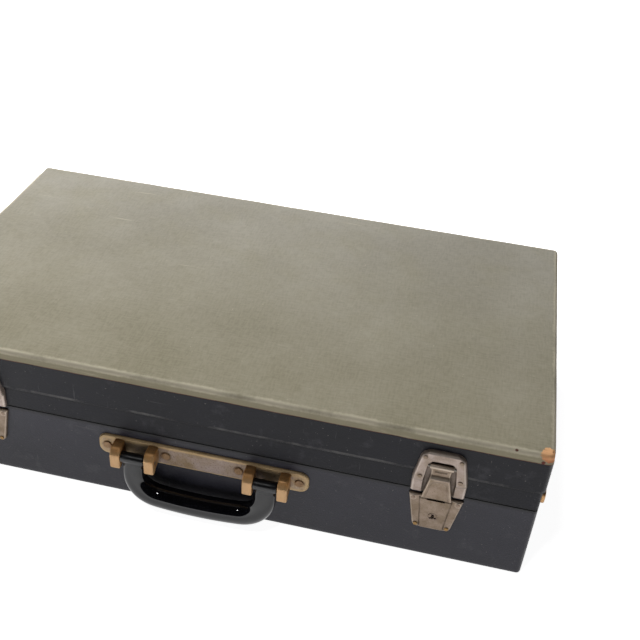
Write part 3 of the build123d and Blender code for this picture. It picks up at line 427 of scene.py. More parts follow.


# %% [markdown]
# ## Grey book cloth
# The lid's top is a plain-woven cloth that was painted or sized grey-green, and has aged:
# soft blotches, a few pale specks and scratches, and a pale worn edge, which is also painted
# lighter as the highlight along that edge. The cloth is painted paler toward the back and
# darker toward the front, painted shade for the light that falls from behind, and its
# turned-down side is painted paler at the case's ends, a painted highlight for the light
# they catch. Threads are two crossed sets of sine waves on the cloth's own flat
# coordinates, so that they run over the edge and down the side without stretching. Wear is
# stored on the points and broken up by noise. Where the chip is complete, the cloth has
# gone and bare wood shows. Two small dark red spots lie near that corner.

# %% Grey cloth
def grey_cloth():
    """Woven cloth: thread relief, blotches, worn and painted-highlit edge, painted front shade,
    turned side with painted pale ends, and a bare wood chip.
    """
    finish, tree, shader = new_finish("grey_cloth", 0.86, specular=0.25)
    at = object_place(tree)
    flat = stored(tree, "laid_flat", "Vector")
    split = add(tree, "SeparateXYZ", {0: flat})
    thread_pitch = 0.0009
    turn = 2 * math.pi / thread_pitch
    wobble = maths(tree, "MULTIPLY", clouds(tree, flat, 160.0, 2.0), 3.2)
    warp, weft = (maths(tree, "SINE", maths(tree, "ADD", maths(
        tree, "MULTIPLY", split.outputs[way], turn), wobble)) for way in (0, 1))
    weave = maths(tree, "MULTIPLY", warp, weft)
    slub = clouds(tree, flat, 420.0, 3.0, 0.6, stretch=(0.25, 1.4, 1))
    slub_across = clouds(tree, flat, 420.0, 3.0, 0.6, stretch=(1.4, 0.25, 1))
    threads = maths(tree, "ADD", maths(tree, "MULTIPLY", weave, 0.12),
                    maths(tree, "ADD", slub, slub_across))
    blotch = clouds(tree, at, 7.0, 5.0, 0.6)
    # Painted shade: paler toward the back and darker, yellower toward the front, as if lit from
    # behind.
    front_shade_share = mask(tree, add(tree, "SeparateXYZ", {0: at}).outputs["Y"], 0.12, -0.15)
    tone = mixed(tree, front_shade_share, paint(139, 135, 124), paint(129, 123, 101))
    tone = mixed(tree, mask(tree, blotch, 0.38, 0.66), tone,
                 mixed(tree, front_shade_share, paint(154, 150, 139), paint(144, 138, 119)))
    mottle = clouds(tree, at, 26.0, 4.0)
    tone = laid_over(tree, tone, mottle, 0.45, 0.72, 0.4, paint(135, 130, 110))
    tone = laid_over(tree, tone, threads, 0.86, 1.24, 0.22, paint(170, 165, 148))
    tone = laid_over(tree, tone, threads, 0.98, 0.72, 0.2, paint(112, 107, 90))
    specks = clouds(tree, at, 330.0, 2.0, 0.5)
    tone = laid_over(tree, tone, specks, 0.72, 0.8, 0.5, paint(176, 170, 150))
    scratch = clouds(tree, at, 9.0, 3.0, 0.5, stretch=(1.2, 16.0, 4.0))
    tone = laid_over(tree, tone, scratch, 0.715, 0.74, 0.4, paint(180, 174, 156))
    # Painted light: the turned-down side gets one tone, painted paler at the case's ends, for the
    # light that falls on the end faces.
    side = stored(tree, "turned_side")
    ends = add(tree, "SeparateXYZ", {0: at}).outputs["X"]
    painted_pale_end = mask(tree, maths(tree, "ABSOLUTE", ends), 0.2735, 0.2745)
    tone = mixed(tree, maths(tree, "MULTIPLY", side, 0.8), tone,
                 mixed(tree, painted_pale_end, paint(130, 123, 101), paint(178, 168, 152)))
    dirt_and_shade = mask(tree, stored(tree, "lower_line"), 0.35, 0.75, 0.85)
    tone = mixed(tree, dirt_and_shade, tone, paint(92, 46, 38))
    streaks = clouds(tree, at, 55.0, 5.0, 0.7, stretch=(0.35, 0.35, 3.0))
    tone = mixed(tree, maths(tree, "MULTIPLY", side, mask(tree, streaks, 0.56, 0.66, 0.6)), tone,
                 paint(160, 153, 134))
    # The pale worn edge is both wear and a painted highlight along the cloth's rounded edge.
    worn_and_highlit_edge = plus(tree, stored(tree, "wear"), clouds(tree, at, 210.0, 5.0, 0.7), 0.7)
    tone = laid_over(tree, tone, worn_and_highlit_edge, 0.5, 1.0, 0.9, paint(190, 182, 161))
    ragged = plus(tree, stored(tree, "chip"), clouds(tree, at, 260.0, 5.0, 0.65), 0.6)
    height = add(tree, "SeparateXYZ", {0: at}).outputs["Z"]
    wood = mixed(tree, mask(tree, height, 0.131, 0.1375), paint(170, 108, 74),
                 paint(224, 172, 124))
    grain = clouds(tree, at, 240.0, 4.0, stretch=(0.3, 1.0, 3.0))
    wood = laid_over(tree, wood, grain, 0.5, 0.7, 0.5, paint(140, 88, 52))
    bare = mask(tree, ragged, 1.0, 1.03)
    tone = mixed(tree, bare, tone, wood)
    for spot in ((0.2455, -0.152, 0.1375), (0.2665, -0.1525, 0.1302)):
        away = add(tree, "VectorMath", {0: at, 1: spot}, operation="DISTANCE").outputs["Value"]
        edge = plus(tree, away, slub, 0.0016)
        tone = laid_over(tree, tone, edge, 0.0026, 0.0020, 0.9, paint(84, 20, 20))
    coated(tree, shader, tone, threads, 0.00012)
    return finish


cloth = grey_cloth()
print(cloth.name, "from", len(cloth.node_tree.nodes), "nodes")

# %% [markdown]
# ## Black leathercloth
# The sides wear a black coated cloth with a fine pressed grain. Light catches it as a soft
# bluish grey, its edges are rubbed paler, and dust and hair scratches cross it. The grain is
# relief: cell noise for the pebbles over finer noise. The roughness changes in broad patches.
# Painted shade darkens it in lines where the skins meet and under the ridge, and the base is
# painted lighter than the lid, standing in for the floor's light.

# %% Black leathercloth
def black_leathercloth():
    """Pebbled coated cloth: cell-noise grain, scuffed patches, rubbed edges, scratches, painted
    shade lines and a base painted lighter.
    """
    finish, tree, shader = new_finish("black_leathercloth", 0.6)
    at = object_place(tree)
    cells = add(tree, "TexVoronoi", {"Vector": at, "Scale": 900.0, "Randomness": 1.0},
                feature="SMOOTH_F1").outputs[0]
    fine = clouds(tree, at, 1500.0, 3.0)
    grain = plus(tree, maths(tree, "MULTIPLY", cells, 0.7), fine, 0.6)
    patches = clouds(tree, at, 11.0, 5.0, 0.62)
    patch = mask(tree, patches, 0.38, 0.68)
    # Painted light: the base's skin is painted lighter than the lid's, for the white floor's
    # light, which reaches the base more.
    tone = mixed(tree, stored(tree, "painted_floor_light"),
                 mixed(tree, patch, paint(12, 12, 19), paint(23, 23, 30)),
                 mixed(tree, patch, paint(27, 26, 36), paint(40, 39, 49)))
    scuffs = clouds(tree, at, 34.0, 6.0, 0.7)
    tone = laid_over(tree, tone, scuffs, 0.56, 0.74, 0.5, paint(70, 69, 74))
    scratch = clouds(tree, at, 14.0, 3.0, 0.5, stretch=(1.0, 1.0, 22.0))
    tone = laid_over(tree, tone, scratch, 0.69, 0.75, 0.3, paint(92, 91, 92))
    hairs = clouds(tree, at, 40.0, 4.0, 0.6, stretch=(7.0, 1.0, 0.8))
    tone = laid_over(tree, tone, hairs, 0.66, 0.72, 0.22, paint(96, 95, 96))
    dust = clouds(tree, at, 620.0, 2.0, 0.5)
    tone = laid_over(tree, tone, dust, 0.72, 0.78, 0.6, paint(120, 116, 112))
    rubbed = plus(tree, stored(tree, "wear"), clouds(tree, at, 150.0, 5.0, 0.72), 0.75)
    tone = laid_over(tree, tone, rubbed, 0.72, 1.2, 0.7, paint(100, 98, 97))
    # Painted shade: dark lines at the parting, under the ridge and along the bottom edge.
    tone = mixed(tree, stored(tree, "dirt_and_shade"), tone, paint(10, 10, 12))
    dullness = mask(tree, patches, 0.3, 0.7, 0.14)
    tree.links.new(maths(tree, "ADD", dullness, 0.33), shader.inputs["Roughness"])
    shine = maths(tree, "MULTIPLY", stored(tree, "painted_floor_light"), 0.13)
    tree.links.new(maths(tree, "ADD", shine, 0.17), shader.inputs["Specular IOR Level"])
    coated(tree, shader, tone, grain, 0.00016)
    return finish


leathercloth = black_leathercloth()
print(leathercloth.name, "from", len(leathercloth.node_tree.nodes), "nodes")

# %% [markdown]
# ## Metals
# Nickel, brass and steel age differently. Nickel on the latches goes dull and pinkish, and
# is painted darker in corners and recesses, as dirt and as shade. The handle plate's plating
# has pitted down to brown brass. Hidden steel stays grey. All nine finishes are one recipe:
# a base tone, a tarnish tone laid in by noise, dark pits, dark dirt and painted shade where
# the points ask for it, and a polished tone where fingers rub, with the roughness following.

# %% One recipe for aged metal
def aged_metal(name, clean, tarnish, dark, roughness, pits, cloud_scale,
               wear_tone=None, metallic=1.0, below=None):
    """Metal with clouds of tarnish, pits of a given strength, and dark dirt and painted shade in
    recesses.

    below is a level in metres and the tone of what lies under it.
    """
    clean, tarnish, dark = paint(*clean), paint(*tarnish), paint(*dark)
    finish, tree, shader = new_finish(name, roughness, metallic)
    at = object_place(tree)
    cloud = clouds(tree, at, cloud_scale, 6.0, 0.65)
    tone = mixed(tree, mask(tree, cloud, 0.36, 0.66), clean, tarnish)
    if below:
        level, low_tone = below
        height = add(tree, "SeparateXYZ", {0: at}).outputs["Z"]
        tone = mixed(tree, mask(tree, height, level - 0.001, level + 0.001),
                     paint(*low_tone), tone)
    spots = clouds(tree, at, 1300.0 - 550.0 * pits, 3.0, 0.6)
    tone = laid_over(tree, tone, spots, 0.56, 0.7, 0.35 + 0.5 * pits, dark)
    # Dark dirt and painted shade, from the value stored on the points, broken up by noise.
    dirt_and_shade = plus(tree, stored(tree, "dirt_and_shade"), clouds(tree, at, 300.0, 4.0), 0.5)
    tone = laid_over(tree, tone, dirt_and_shade, 0.45, 1.1, 0.85, dark)
    if wear_tone:
        tone = laid_over(tree, tone, stored(tree, "wear"), 0.2, 0.9, 0.8, paint(*wear_tone))
    blur = maths(tree, "ADD", mask(tree, cloud, 0.3, 0.7, 0.14), roughness - 0.05)
    tree.links.new(maths(tree, "ADD", blur, mask(tree, spots, 0.5, 0.75, 0.2 * pits)),
                   shader.inputs["Roughness"])
    relief = plus(tree, maths(tree, "MULTIPLY", spots, 0.3 + pits),
                  clouds(tree, at, 260.0, 4.0), 0.5)
    coated(tree, shader, tone, relief, 0.00007 + 0.00018 * pits)
    return finish


nickel = aged_metal("aged_nickel", (138, 122, 108), (118, 102, 84), (48, 36, 24),
                    roughness=0.44, pits=0.15, cloud_scale=120.0,
                    wear_tone=(186, 171, 156), metallic=0.78)
rim_nickel = aged_metal("rim_nickel", (157, 142, 134), (138, 122, 108), (52, 40, 28),
                        roughness=0.44, pits=0.15, cloud_scale=120.0,
                        wear_tone=(204, 191, 180), metallic=0.6)
pitted_brass = aged_metal("aged_brass", (143, 128, 120), (128, 108, 82), (86, 66, 46),
                          roughness=0.5, pits=1.0, cloud_scale=55.0,
                          wear_tone=(174, 148, 108), metallic=0.6)
lug_brass = aged_metal("lug_brass", (206, 156, 100), (180, 130, 76), (74, 50, 32),
                       roughness=0.42, pits=0.35, cloud_scale=110.0,
                       wear_tone=(180, 146, 106), metallic=0.4)
rivet_brass = aged_metal("rivet_brass", (140, 112, 82), (120, 92, 64), (66, 46, 30),
                         roughness=0.48, pits=0.6, cloud_scale=160.0, metallic=0.6)
end_brass = aged_metal("end_brass", (186, 148, 106), (158, 122, 84), (74, 52, 32),
                       roughness=0.4, pits=0.3, cloud_scale=200.0)
key_nickel = aged_metal("key_nickel", (134, 119, 107), (112, 96, 80), (48, 36, 26),
                        roughness=0.46, pits=0.4, cloud_scale=260.0)
rivet_nickel = aged_metal("rivet_nickel", (139, 124, 113), (121, 104, 88), (50, 38, 26),
                          roughness=0.4, pits=0.15, cloud_scale=260.0,
                          below=(0.055, (138, 110, 72)))


def painted_key_slot(finish, key_x, level):
    """A dark three-armed mark, painted shade for the key's slot: a star of angle and distance,
    broken up.
    """
    tree = finish.node_tree
    at = object_place(tree)
    apart = add(tree, "SeparateXYZ", {0: at})
    sideways = maths(tree, "SUBTRACT", maths(tree, "ABSOLUTE", apart.outputs["X"]), key_x)
    up = maths(tree, "SUBTRACT", apart.outputs["Z"], level)
    rough = maths(tree, "MULTIPLY", clouds(tree, at, 900.0, 3.0), 0.9)
    angle = maths(tree, "ADD", maths(tree, "ARCTAN2", up, sideways), rough)
    star = maths(tree, "COSINE", maths(tree, "MULTIPLY", angle, 3.0))
    away = maths(tree, "SQRT", plus(tree, maths(tree, "MULTIPLY", up, up), sideways, sideways))
    arms = maths(tree, "MULTIPLY", mask(tree, star, 0.1, 0.6),
                 mask(tree, away, 0.0036, 0.0028))
    middle = mask(tree, away, 0.0012, 0.0007)
    shader = tree.nodes["Principled BSDF"]
    before = shader.inputs["Base Color"].links[0].from_socket
    dark = mixed(tree, maths(tree, "MAXIMUM", arms, middle), before, paint(28, 20, 16))
    tree.links.new(dark, shader.inputs["Base Color"])


painted_key_slot(key_nickel, key_x=0.194, level=0.0508)
steel = aged_metal("steel", (158, 156, 152), (132, 128, 120), (70, 62, 54),
                   roughness=0.38, pits=0.3, cloud_scale=160.0)
for metal in (nickel, rim_nickel, pitted_brass, lug_brass, rivet_brass, end_brass, key_nickel,
              rivet_nickel, steel):
    print(metal.name, "from", len(metal.node_tree.nodes), "nodes")

# %% [markdown]
# ## Moulded handle, plush and wood
# The handle is black moulded plastic, glossy with fine wear lines. Plush is short pile: a
# deep colour, a soft sheen and a pile that leans this way and that, which noise at two
# scales stands in for. The boards and the lid's hoop are wood, and the coverings hide
# nearly all of it.

# %% Plastic, plush, wood and tab leather
def moulded_plastic():
    """Glossy black with rubbed clouds and hair scratches; dull where the barrels turn."""
    finish, tree, shader = new_finish("black_plastic", 0.12, specular=0.5)
    at = object_place(tree)
    rub = clouds(tree, at, 60.0, 5.0, 0.6)
    hair = clouds(tree, at, 60.0, 4.0, 0.6, stretch=(0.6, 6.0, 6.0))
    tone = laid_over(tree, paint(11, 11, 15), rub, 0.5, 0.8, 0.6, paint(30, 29, 33))
    dullness = maths(tree, "ADD", mask(tree, rub, 0.45, 0.8, 0.05),
                     mask(tree, hair, 0.66, 0.74, 0.04))
    dullness = plus(tree, dullness, stored(tree, "wear"), 0.3)
    tree.links.new(maths(tree, "ADD", dullness, 0.025), shader.inputs["Roughness"])
    coated(tree, shader, tone, rub, 0.00001)
    return finish


def short_plush():
    """Short pile: leaning-pile clouds, fine fibre noise, crushed paler where it is handled."""
    finish, tree, shader = new_finish("plush", 0.95, specular=0.15)
    set_inputs(shader, {"Sheen Weight": 0.6, "Sheen Roughness": 0.4,
                        "Sheen Tint": paint(190, 110, 112)})
    at = object_place(tree)
    fibres = clouds(tree, at, 1500.0, 3.0, 0.7)
    lean = clouds(tree, at, 22.0, 5.0, 0.6, distortion=0.6)
    tone = mixed(tree, mask(tree, lean, 0.36, 0.66), paint(96, 22, 30), paint(126, 36, 44))
    tone = laid_over(tree, tone, fibres, 0.42, 0.66, 0.6, paint(70, 12, 20))
    rubbed = plus(tree, stored(tree, "wear"), clouds(tree, at, 90.0, 5.0), 0.6)
    tone = laid_over(tree, tone, rubbed, 0.7, 1.2, 0.7, paint(150, 78, 78))
    coated(tree, shader, tone, maths(tree, "ADD", fibres, lean), 0.0005)
    return finish


def plain_wood(name, pale, dark):
    """Straight-grained board: rings stretched along x, fine pores and a dull finish."""
    finish, tree, shader = new_finish(name, 0.62, specular=0.3)
    at = object_place(tree)
    rings = clouds(tree, at, 60.0, 5.0, 0.6, stretch=(0.06, 1.0, 1.4), distortion=0.4)
    pores = clouds(tree, at, 900.0, 3.0, 0.5, stretch=(0.04, 1.0, 1.0))
    tone = mixed(tree, mask(tree, rings, 0.36, 0.64), pale, dark)
    tone = laid_over(tree, tone, pores, 0.55, 0.75, 0.5, paint(82, 54, 32))
    coated(tree, shader, tone, maths(tree, "ADD", rings, pores), 0.0001)
    return finish


def tab_hide():
    """Dark brown leather with creases."""
    finish, tree, shader = new_finish("tab_leather", 0.5, specular=0.4)
    at = object_place(tree)
    creases = add(tree, "TexVoronoi", {"Vector": at, "Scale": 420.0},
                  feature="DISTANCE_TO_EDGE").outputs[0]
    tone = mixed(tree, clouds(tree, at, 60.0, 4.0), paint(70, 38, 24), paint(98, 58, 38))
    coated(tree, shader, tone, creases, 0.0002)
    return finish


plastic = moulded_plastic()
plush = short_plush()
board_wood = plain_wood("board_wood", paint(196, 158, 112), paint(170, 128, 84))
hoop_wood = plain_wood("hoop_wood", paint(178, 138, 98), paint(146, 106, 70))
tab_leather = tab_hide()
print("plastic, plush, two woods and tab leather")

# %% [markdown]
# ## Skins carried round the case
# Each covering is a profile carried round a rounded rectangle. One template holds the way
# round once: for every point its share of the straight side and the direction it faces.
# A larger or smaller loop then only changes the half sizes and the corner radius, so the
# rows of a skin always line up.

# %% The way round
def way_round(front_marks=()):
    """Shares of the straight sides and facing directions, once round, anticlockwise.

    A straight side's share runs from -1 to 1 while it faces one way. A corner keeps the
    share and turns its facing by a quarter circle. front_marks are extra x places, in
    millimetres, where the front and rear need a column.
    """
    straight = shell_half[0] - shell_turn
    long_side = np.unique(np.round(np.concatenate([
        np.linspace(-1, 1, 111), np.array(front_marks) / straight]), 6))
    short_side = np.linspace(-1, 1, 61)
    angles = np.linspace(0, np.pi / 2, 9)[1:-1]
    cx, cy, nx, ny = [], [], [], []
    for quarter, side in enumerate([long_side, short_side] * 2):
        turn = (quarter - 1) * np.pi / 2
        facing = np.array([np.cos(turn), np.sin(turn)])
        along = np.array([-facing[1], facing[0]])
        corner = np.stack([np.cos(turn + angles), np.sin(turn + angles)], -1)
        share = side[:, None] * along + facing
        end = np.repeat([along + facing], len(angles), 0)
        cx += [share[:, 0], end[:, 0]]
        cy += [share[:, 1], end[:, 1]]
        nx += [np.full(len(side), facing[0]), corner[:, 0]]
        ny += [np.full(len(side), facing[1]), corner[:, 1]]
    return tuple(np.concatenate(v) for v in (cx, cy, nx, ny))


def loop_at(template, half, radius, out):
    """The loop that lies out millimetres outside the base loop; inside, its corners sharpen."""
    cx, cy, nx, ny = template
    turn = np.clip(radius + out, 0, None)
    straight = np.clip(np.array(half)[None] + out[:, None] - turn[:, None], 0, None)
    x = cx * straight[:, :1] + nx * turn[:, None]
    y = cy * straight[:, 1:] + ny * turn[:, None]
    return x, y


def carried(template, half, radius, profile):
    """A profile of (out, level) rows carried round the loop: one row of points for each."""
    profile = np.asarray(profile, float)
    x, y = loop_at(template, half, radius, profile[:, 0])
    z = np.repeat(profile[:, 1:], x.shape[1], 1)
    return np.stack([x, y, z], -1)


def laid_flat(template, half, radius, profile, start):
    """Cloth coordinates in metres: the same loops, pushed out by the length along the profile."""
    profile = np.asarray(profile, float)
    steps = np.linalg.norm(np.diff(profile, axis=0), axis=1)
    run = np.concatenate([[0], np.cumsum(steps)]) + start
    x, y = loop_at(template, half, radius, run)
    return np.stack([x, y, np.zeros_like(x)], -1) * MM


shell_turn = 3.4
case_turn = 5.0
lock_low, lock_high = low_high("lock_case_left")
lock_x = -(lock_low[0] + lock_high[0]) / 2
mortise = (lock_high[0] - lock_low[0]) / 2
marks = [s * (lock_x + o) for s in (-1, 1) for o in (-mortise, mortise)]
template = way_round(marks)
print("points once round:", len(template[0]))

# %% [markdown]
# ## Profiles with rounded corners
# Covered boards and pressed metal have no sharp corners. A profile is given as a few
# corner points, each with a radius, and every corner is replaced by an arc.

# %% Round a profile's corners
def soften(corners, radii, closed=False, steps=6):
    """Corner points joined by straight runs, with each corner cut back to an arc.

    The cut is radius times the cotangent of half the corner's angle along both sides, and
    the arc is drawn as a quadratic curve from cut to cut with the corner as its control.
    """
    corners = np.asarray(corners, float)
    count = len(corners)
    result = []
    share = np.linspace(0, 1, steps + 1)[:, None]
    for k in range(count):
        here = corners[k]
        if not closed and k in (0, count - 1) or radii[k] == 0:
            result.append(here[None])
            continue
        before, after = corners[k - 1], corners[(k + 1) % count]
        back_way, on_way = before - here, after - here
        back_long, on_long = np.linalg.norm(back_way), np.linalg.norm(on_way)
        cosine = np.clip(back_way @ on_way / (back_long * on_long), -1, 1)
        cut = radii[k] / np.tan(np.arccos(cosine) / 2) if cosine > -0.9999 else radii[k]
        cut = min(cut, 0.49 * back_long, 0.49 * on_long)
        start, end = here + back_way / back_long * cut, here + on_way / on_long * cut
        result.append((1 - share) ** 2 * start + 2 * share * (1 - share) * here
                      + share ** 2 * end)
    return np.concatenate(result)


def refine(profile, spacing):
    """The same profile with points added so that none lie further apart than the spacing."""
    profile = np.asarray(profile, float)
    result = [profile[:1]]
    for start, end in zip(profile[:-1], profile[1:]):
        pieces = max(1, int(np.ceil(np.linalg.norm(end - start) / spacing)))
        result.append(start + (end - start) * np.linspace(0, 1, pieces + 1)[1:, None])
    return np.concatenate(result)


def inner_row(profile, thickness):
    """The profile moved inward by a thickness along its own normals."""
    profile = np.asarray(profile, float)
    along = np.gradient(profile, axis=0)
    along /= np.linalg.norm(along, axis=1, keepdims=True) + 1e-12
    return profile + np.stack([along[:, 1], -along[:, 0]], -1) * thickness


square = soften([(0, 0), (1, 0), (1, 1), (0, 1)], [0.2] * 4, closed=True)
print("a square with its corners rounded has", len(square), "points")

# %% [markdown]
# ## The grey cloth top
# The cloth covers the top and turns down over the edge for about a centimetre. Its profile
# runs from the middle of the top, over the rounded edge and down to the cut edge. It is
# pushed in a little where the edge is worn, and gone at the chipped front corner. It could
# be a box with a bevel, but that would have neither the flat cloth coordinates nor the wear.

# %% Build the cloth top
def cloth_top():
    """Cloth over the lid's top: flat, a quarter round at the edge, then straight down."""
    edge_radius, thickness = 3.4, 0.7
    centre_out = -case_half[1]
    inward = np.concatenate([np.linspace(centre_out, -30, 20),
                             np.linspace(-28, -edge_radius, 12)])
    flat_part = np.stack([inward, np.full(len(inward), case_top)], -1)
    turn = np.linspace(0, np.pi / 2, 9)[1:]
    arc = np.stack([(np.sin(turn) - 1) * edge_radius,
                    case_top - edge_radius + np.cos(turn) * edge_radius], -1)
    down = np.stack([np.zeros(6), np.linspace(case_top - edge_radius, cloth_edge, 7)[1:]], -1)
    outer_profile = np.concatenate([flat_part, arc, down])
    inner_profile = inner_row(outer_profile, thickness)
    inner_profile[: len(flat_part), 1] = case_top - thickness
    outer = carried(template, case_half, case_turn, outer_profile)
    inner = carried(template, case_half, case_turn, inner_profile)
    flat = laid_flat(template, case_half, case_turn, outer_profile, centre_out)
    cols = outer.shape[1]
    level, out = outer_profile[:, 1][:, None], outer_profile[:, 0][:, None]
    worn_from, worn_to = 132.5, 136.0
    side_from, side_to = 134.9, 133.4
    # This marks the worn edge; the cloth's finish also paints it as the edge's highlight.
    near_edge = np.repeat(bell(out, -1.4, 2.4) * step(level, worn_from, worn_to), cols, 1)
    wear = near_edge * (0.7 + 0.3 * ripple(outer, 60, 3))
    side = np.repeat(step(-level, -side_from, -side_to), cols, 1)
    lower_line = np.repeat(step(-level, -cloth_edge - 1.3, -cloth_edge - 0.1), cols, 1)
    front_right = np.array([case_half[0] - 4, -case_half[1] + 2.5, case_top - 1])
    gap = np.linalg.norm((outer - front_right) * [0.75, 0.8, 0.85], axis=-1)
    chip = 1.2 * bell(gap, 0, 8.0)
    rear_left = np.array([-case_half[0], case_half[1] - 12, case_top - 1])
    gap = np.linalg.norm((outer - rear_left) * [1, 0.5, 1], axis=-1)
    chip = np.maximum(chip, 0.9 * bell(gap, 0, 3.2))
    normal = outer - inner
    normal /= np.linalg.norm(normal, axis=-1, keepdims=True) + 1e-9
    push = -0.22 * wear - 0.5 * step(chip, 0.45, 0.9) - 0.05 * (1 + ripple(outer, 45, 5))
    outer = outer + normal * push[..., None]
    outer[-1, :, 2] += 0.25 * ripple(outer[-1], 30, 8)
    inner[-1, :, 2] = outer[-1, :, 2]
    return make_sheet("lid_cloth", "lid", cloth, outer, inner,
                      {"laid_flat": flat, "wear": wear, "turned_side": side,
                       "lower_line": lower_line, "chip": chip},
                      crease=40, wrap=True, meets=True, replaces=["lid_top_cloth"])


cloth_top()

# %% [markdown]
# ## The leathercloth skins
# Three skins: the lid's proud upper band, its lower band, and the base. The two that meet
# at the parting turn inward over the boards' edges, which is why an open case shows black
# rims and no bare wood. Their corners are rounded by the thickness of the cloth, and the
# proud ridge is rubbed pale along its corner. Dark lines are painted in as shade at the
# parting, under the ridge and along the base's bottom edge, and the base is painted lighter
# than the lid, for the floor's light that reaches it more.

# %% Build the three skins
def lines_round(level, lines):
    """1 on each line round the case, falling away over its spread: the highest of the bells."""
    result = np.zeros(level.shape)
    for place, spread in lines:
        result = np.maximum(result, bell(level, place, spread))
    return result


def leather_skin(name, body, half, radius, corners, radii, core, replaced, spacing,
                 cut=None, worn_lines=(), dark_lines=(), painted_floor_light=0.0):
    """A skin carried round the case, with a mortise cut in its front where one is given.

    core turns the outer profile into the inner one, which lies on the boards.
    """
    outer_profile = refine(soften(corners, radii), spacing)
    outer = carried(template, half, radius, outer_profile)
    inner = carried(template, half, radius, core(outer_profile))
    rows, cols = outer.shape[:2]
    keep = np.ones((rows - 1, cols), bool)
    if cut:
        middle = (outer[:-1] + np.roll(outer, -1, 1)[1:]) / 2
        inside = ((np.abs(np.abs(middle[..., 0]) - lock_x) < mortise - 0.05)
                  & (middle[..., 1] < -half[1] + 1)
                  & (middle[..., 2] > cut[0]) & (middle[..., 2] < cut[1]))
        keep = ~inside
    # The dark lines are painted shade: dark bands round the case at the parting, under the ridge
    # and along the bottom.
    wear, dirt_and_shade = lines_round(outer[..., 2], worn_lines), lines_round(outer[..., 2], dark_lines)
    upright = (np.abs(template[2]) * np.abs(template[3]) * 2)[None]
    wear = np.clip(np.maximum(wear, upright * 0.8) * (0.62 + 0.38 * ripple(outer, 40, len(name))),
                   0, 1)
    swell = 0.07 * ripple(outer, 38, 2 * len(name))
    outward = np.stack([template[2], template[3], np.zeros(cols)], -1)
    outer = outer + outward * (swell * step(outer[..., 2], 6, 12))[..., None]
    # The last value paints the whole skin lighter, standing in for the white floor's light.
    return make_piece(name, body, leathercloth,
                      np.concatenate([outer, inner]), shell_faces(rows, cols, True, keep),
                      {"wear": np.concatenate([wear, wear * 0]),
                       "dirt_and_shade": np.concatenate([dirt_and_shade, dirt_and_shade]),
                       "painted_floor_light": np.full(2 * outer.shape[0] * cols, painted_floor_light)}, replaces=replaced)


def core_of_upper(profile):
    """The hoop's own face: straight up behind the skin, and in under it."""
    return np.stack([np.clip(profile[:, 0] - 0.8, -1.5, -0.8),
                     np.clip(profile[:, 1] + 0.8, ridge + 0.8, None)], -1)


def core_of_lower(profile):
    """The board's face and edge, and up its inner face, just under the skin."""
    return np.stack([np.clip(profile[:, 0], -board - skin, -skin),
                     np.maximum(profile[:, 1], lid_level)], -1)


def core_of_base(profile):
    """The boards' faces just under the skin, from the inner face over the rim to the underside.

    On the rounded lower edge it meets the outer profile at a point: the skin has no
    thickness along that line.
    """
    return np.stack([np.clip(profile[:, 0], -board - skin, -skin)
                     * (profile[:, 1] > 1) + profile[:, 0] * (profile[:, 1] <= 1),
                     np.clip(profile[:, 1], skin, rim_level)], -1)


# Painted shade lines: under the proud ridge, at the parting, and along the base's bottom edge.
leather_skin("lid_upper_skin", "lid", case_half, case_turn,
             [(0, cloth_edge - 0.1), (0, ridge), (-1.5, ridge)], [0, 1.0, 0], core_of_upper,
             ["lid_upper_covering"], 1.6, worn_lines=[(ridge + 1.5, 1.5)],
             dark_lines=[(ridge - 0.2, 0.9)])
inner_side = -board - skin - film
leather_skin("lid_lower_skin", "lid", shell_half, shell_turn,
             [(0, ridge), (0, lid_level - film), (inner_side, lid_level - film),
              (inner_side, lid_level + 1.4)],
             [0, 1.1, 0.4, 0], core_of_lower, ["lid_lower_covering"], 2.0,
             dark_lines=[(lid_level, 1.3), (ridge + 0.2, 1.9)])
mortise_cut = (lock_low[2], lock_high[2])
# The base is painted lighter than the lid, for the floor's light that reaches it.
leather_skin("base_skin", "base", shell_half, shell_turn,
             [(inner_side, rim_level - 1.4), (inner_side, rim_level + film),
              (0, rim_level + film), (0, mortise_cut[1]), (0, mortise_cut[0]), (0, 0),
              (-16, 0)],
             [0, 0.4, 1.1, 0, 0, 4.0, 0], core_of_base, ["base_side_covering"], 3.0,
             cut=mortise_cut, dark_lines=[(rim_level, 1.9), (0.6, 1.3)], painted_floor_light=1.0)

# %% [markdown]
# ## Pressed latches
# Each latch is three pieces of pressed nickel-plated sheet. The plate on the lid is an
# arch whose window shows the hasp; below its shoulders it steps back into two ears. The
# grid's columns are shared out so that one column follows the window's edge exactly:
# a middle zone inside the window and a rim zone on each side of it.

# %% The latch plate
latch_low, latch_high = low_high("latch_plate_left")
plate_low, plate_high = low_high("lock_plate_left")
band_out = case_half[1] - front_face
latch_x = (latch_low[0] + latch_high[0]) / 2


def across_rows(inner, outer, middle_count, rim_count):
    """Columns from left to right: middle_count inside the inner width, rim_count on each rim."""
    rim = (1 - np.cos(np.linspace(0, np.pi, rim_count))) / 2
    middle = np.linspace(-1, 1, middle_count)[None] * inner[:, None]
    side = inner[:, None] + (outer - inner)[:, None] * rim[None]
    return np.concatenate([-side[:, :0:-1], middle, side[:, 1:]], 1)


def on_front(x, out, level):
    """Points on the case's front: x along it, out from the covering, level above the floor."""
    x, out, level = np.broadcast_arrays(x, out, level)
    return np.stack([x, -(front_face + out), level], -1)


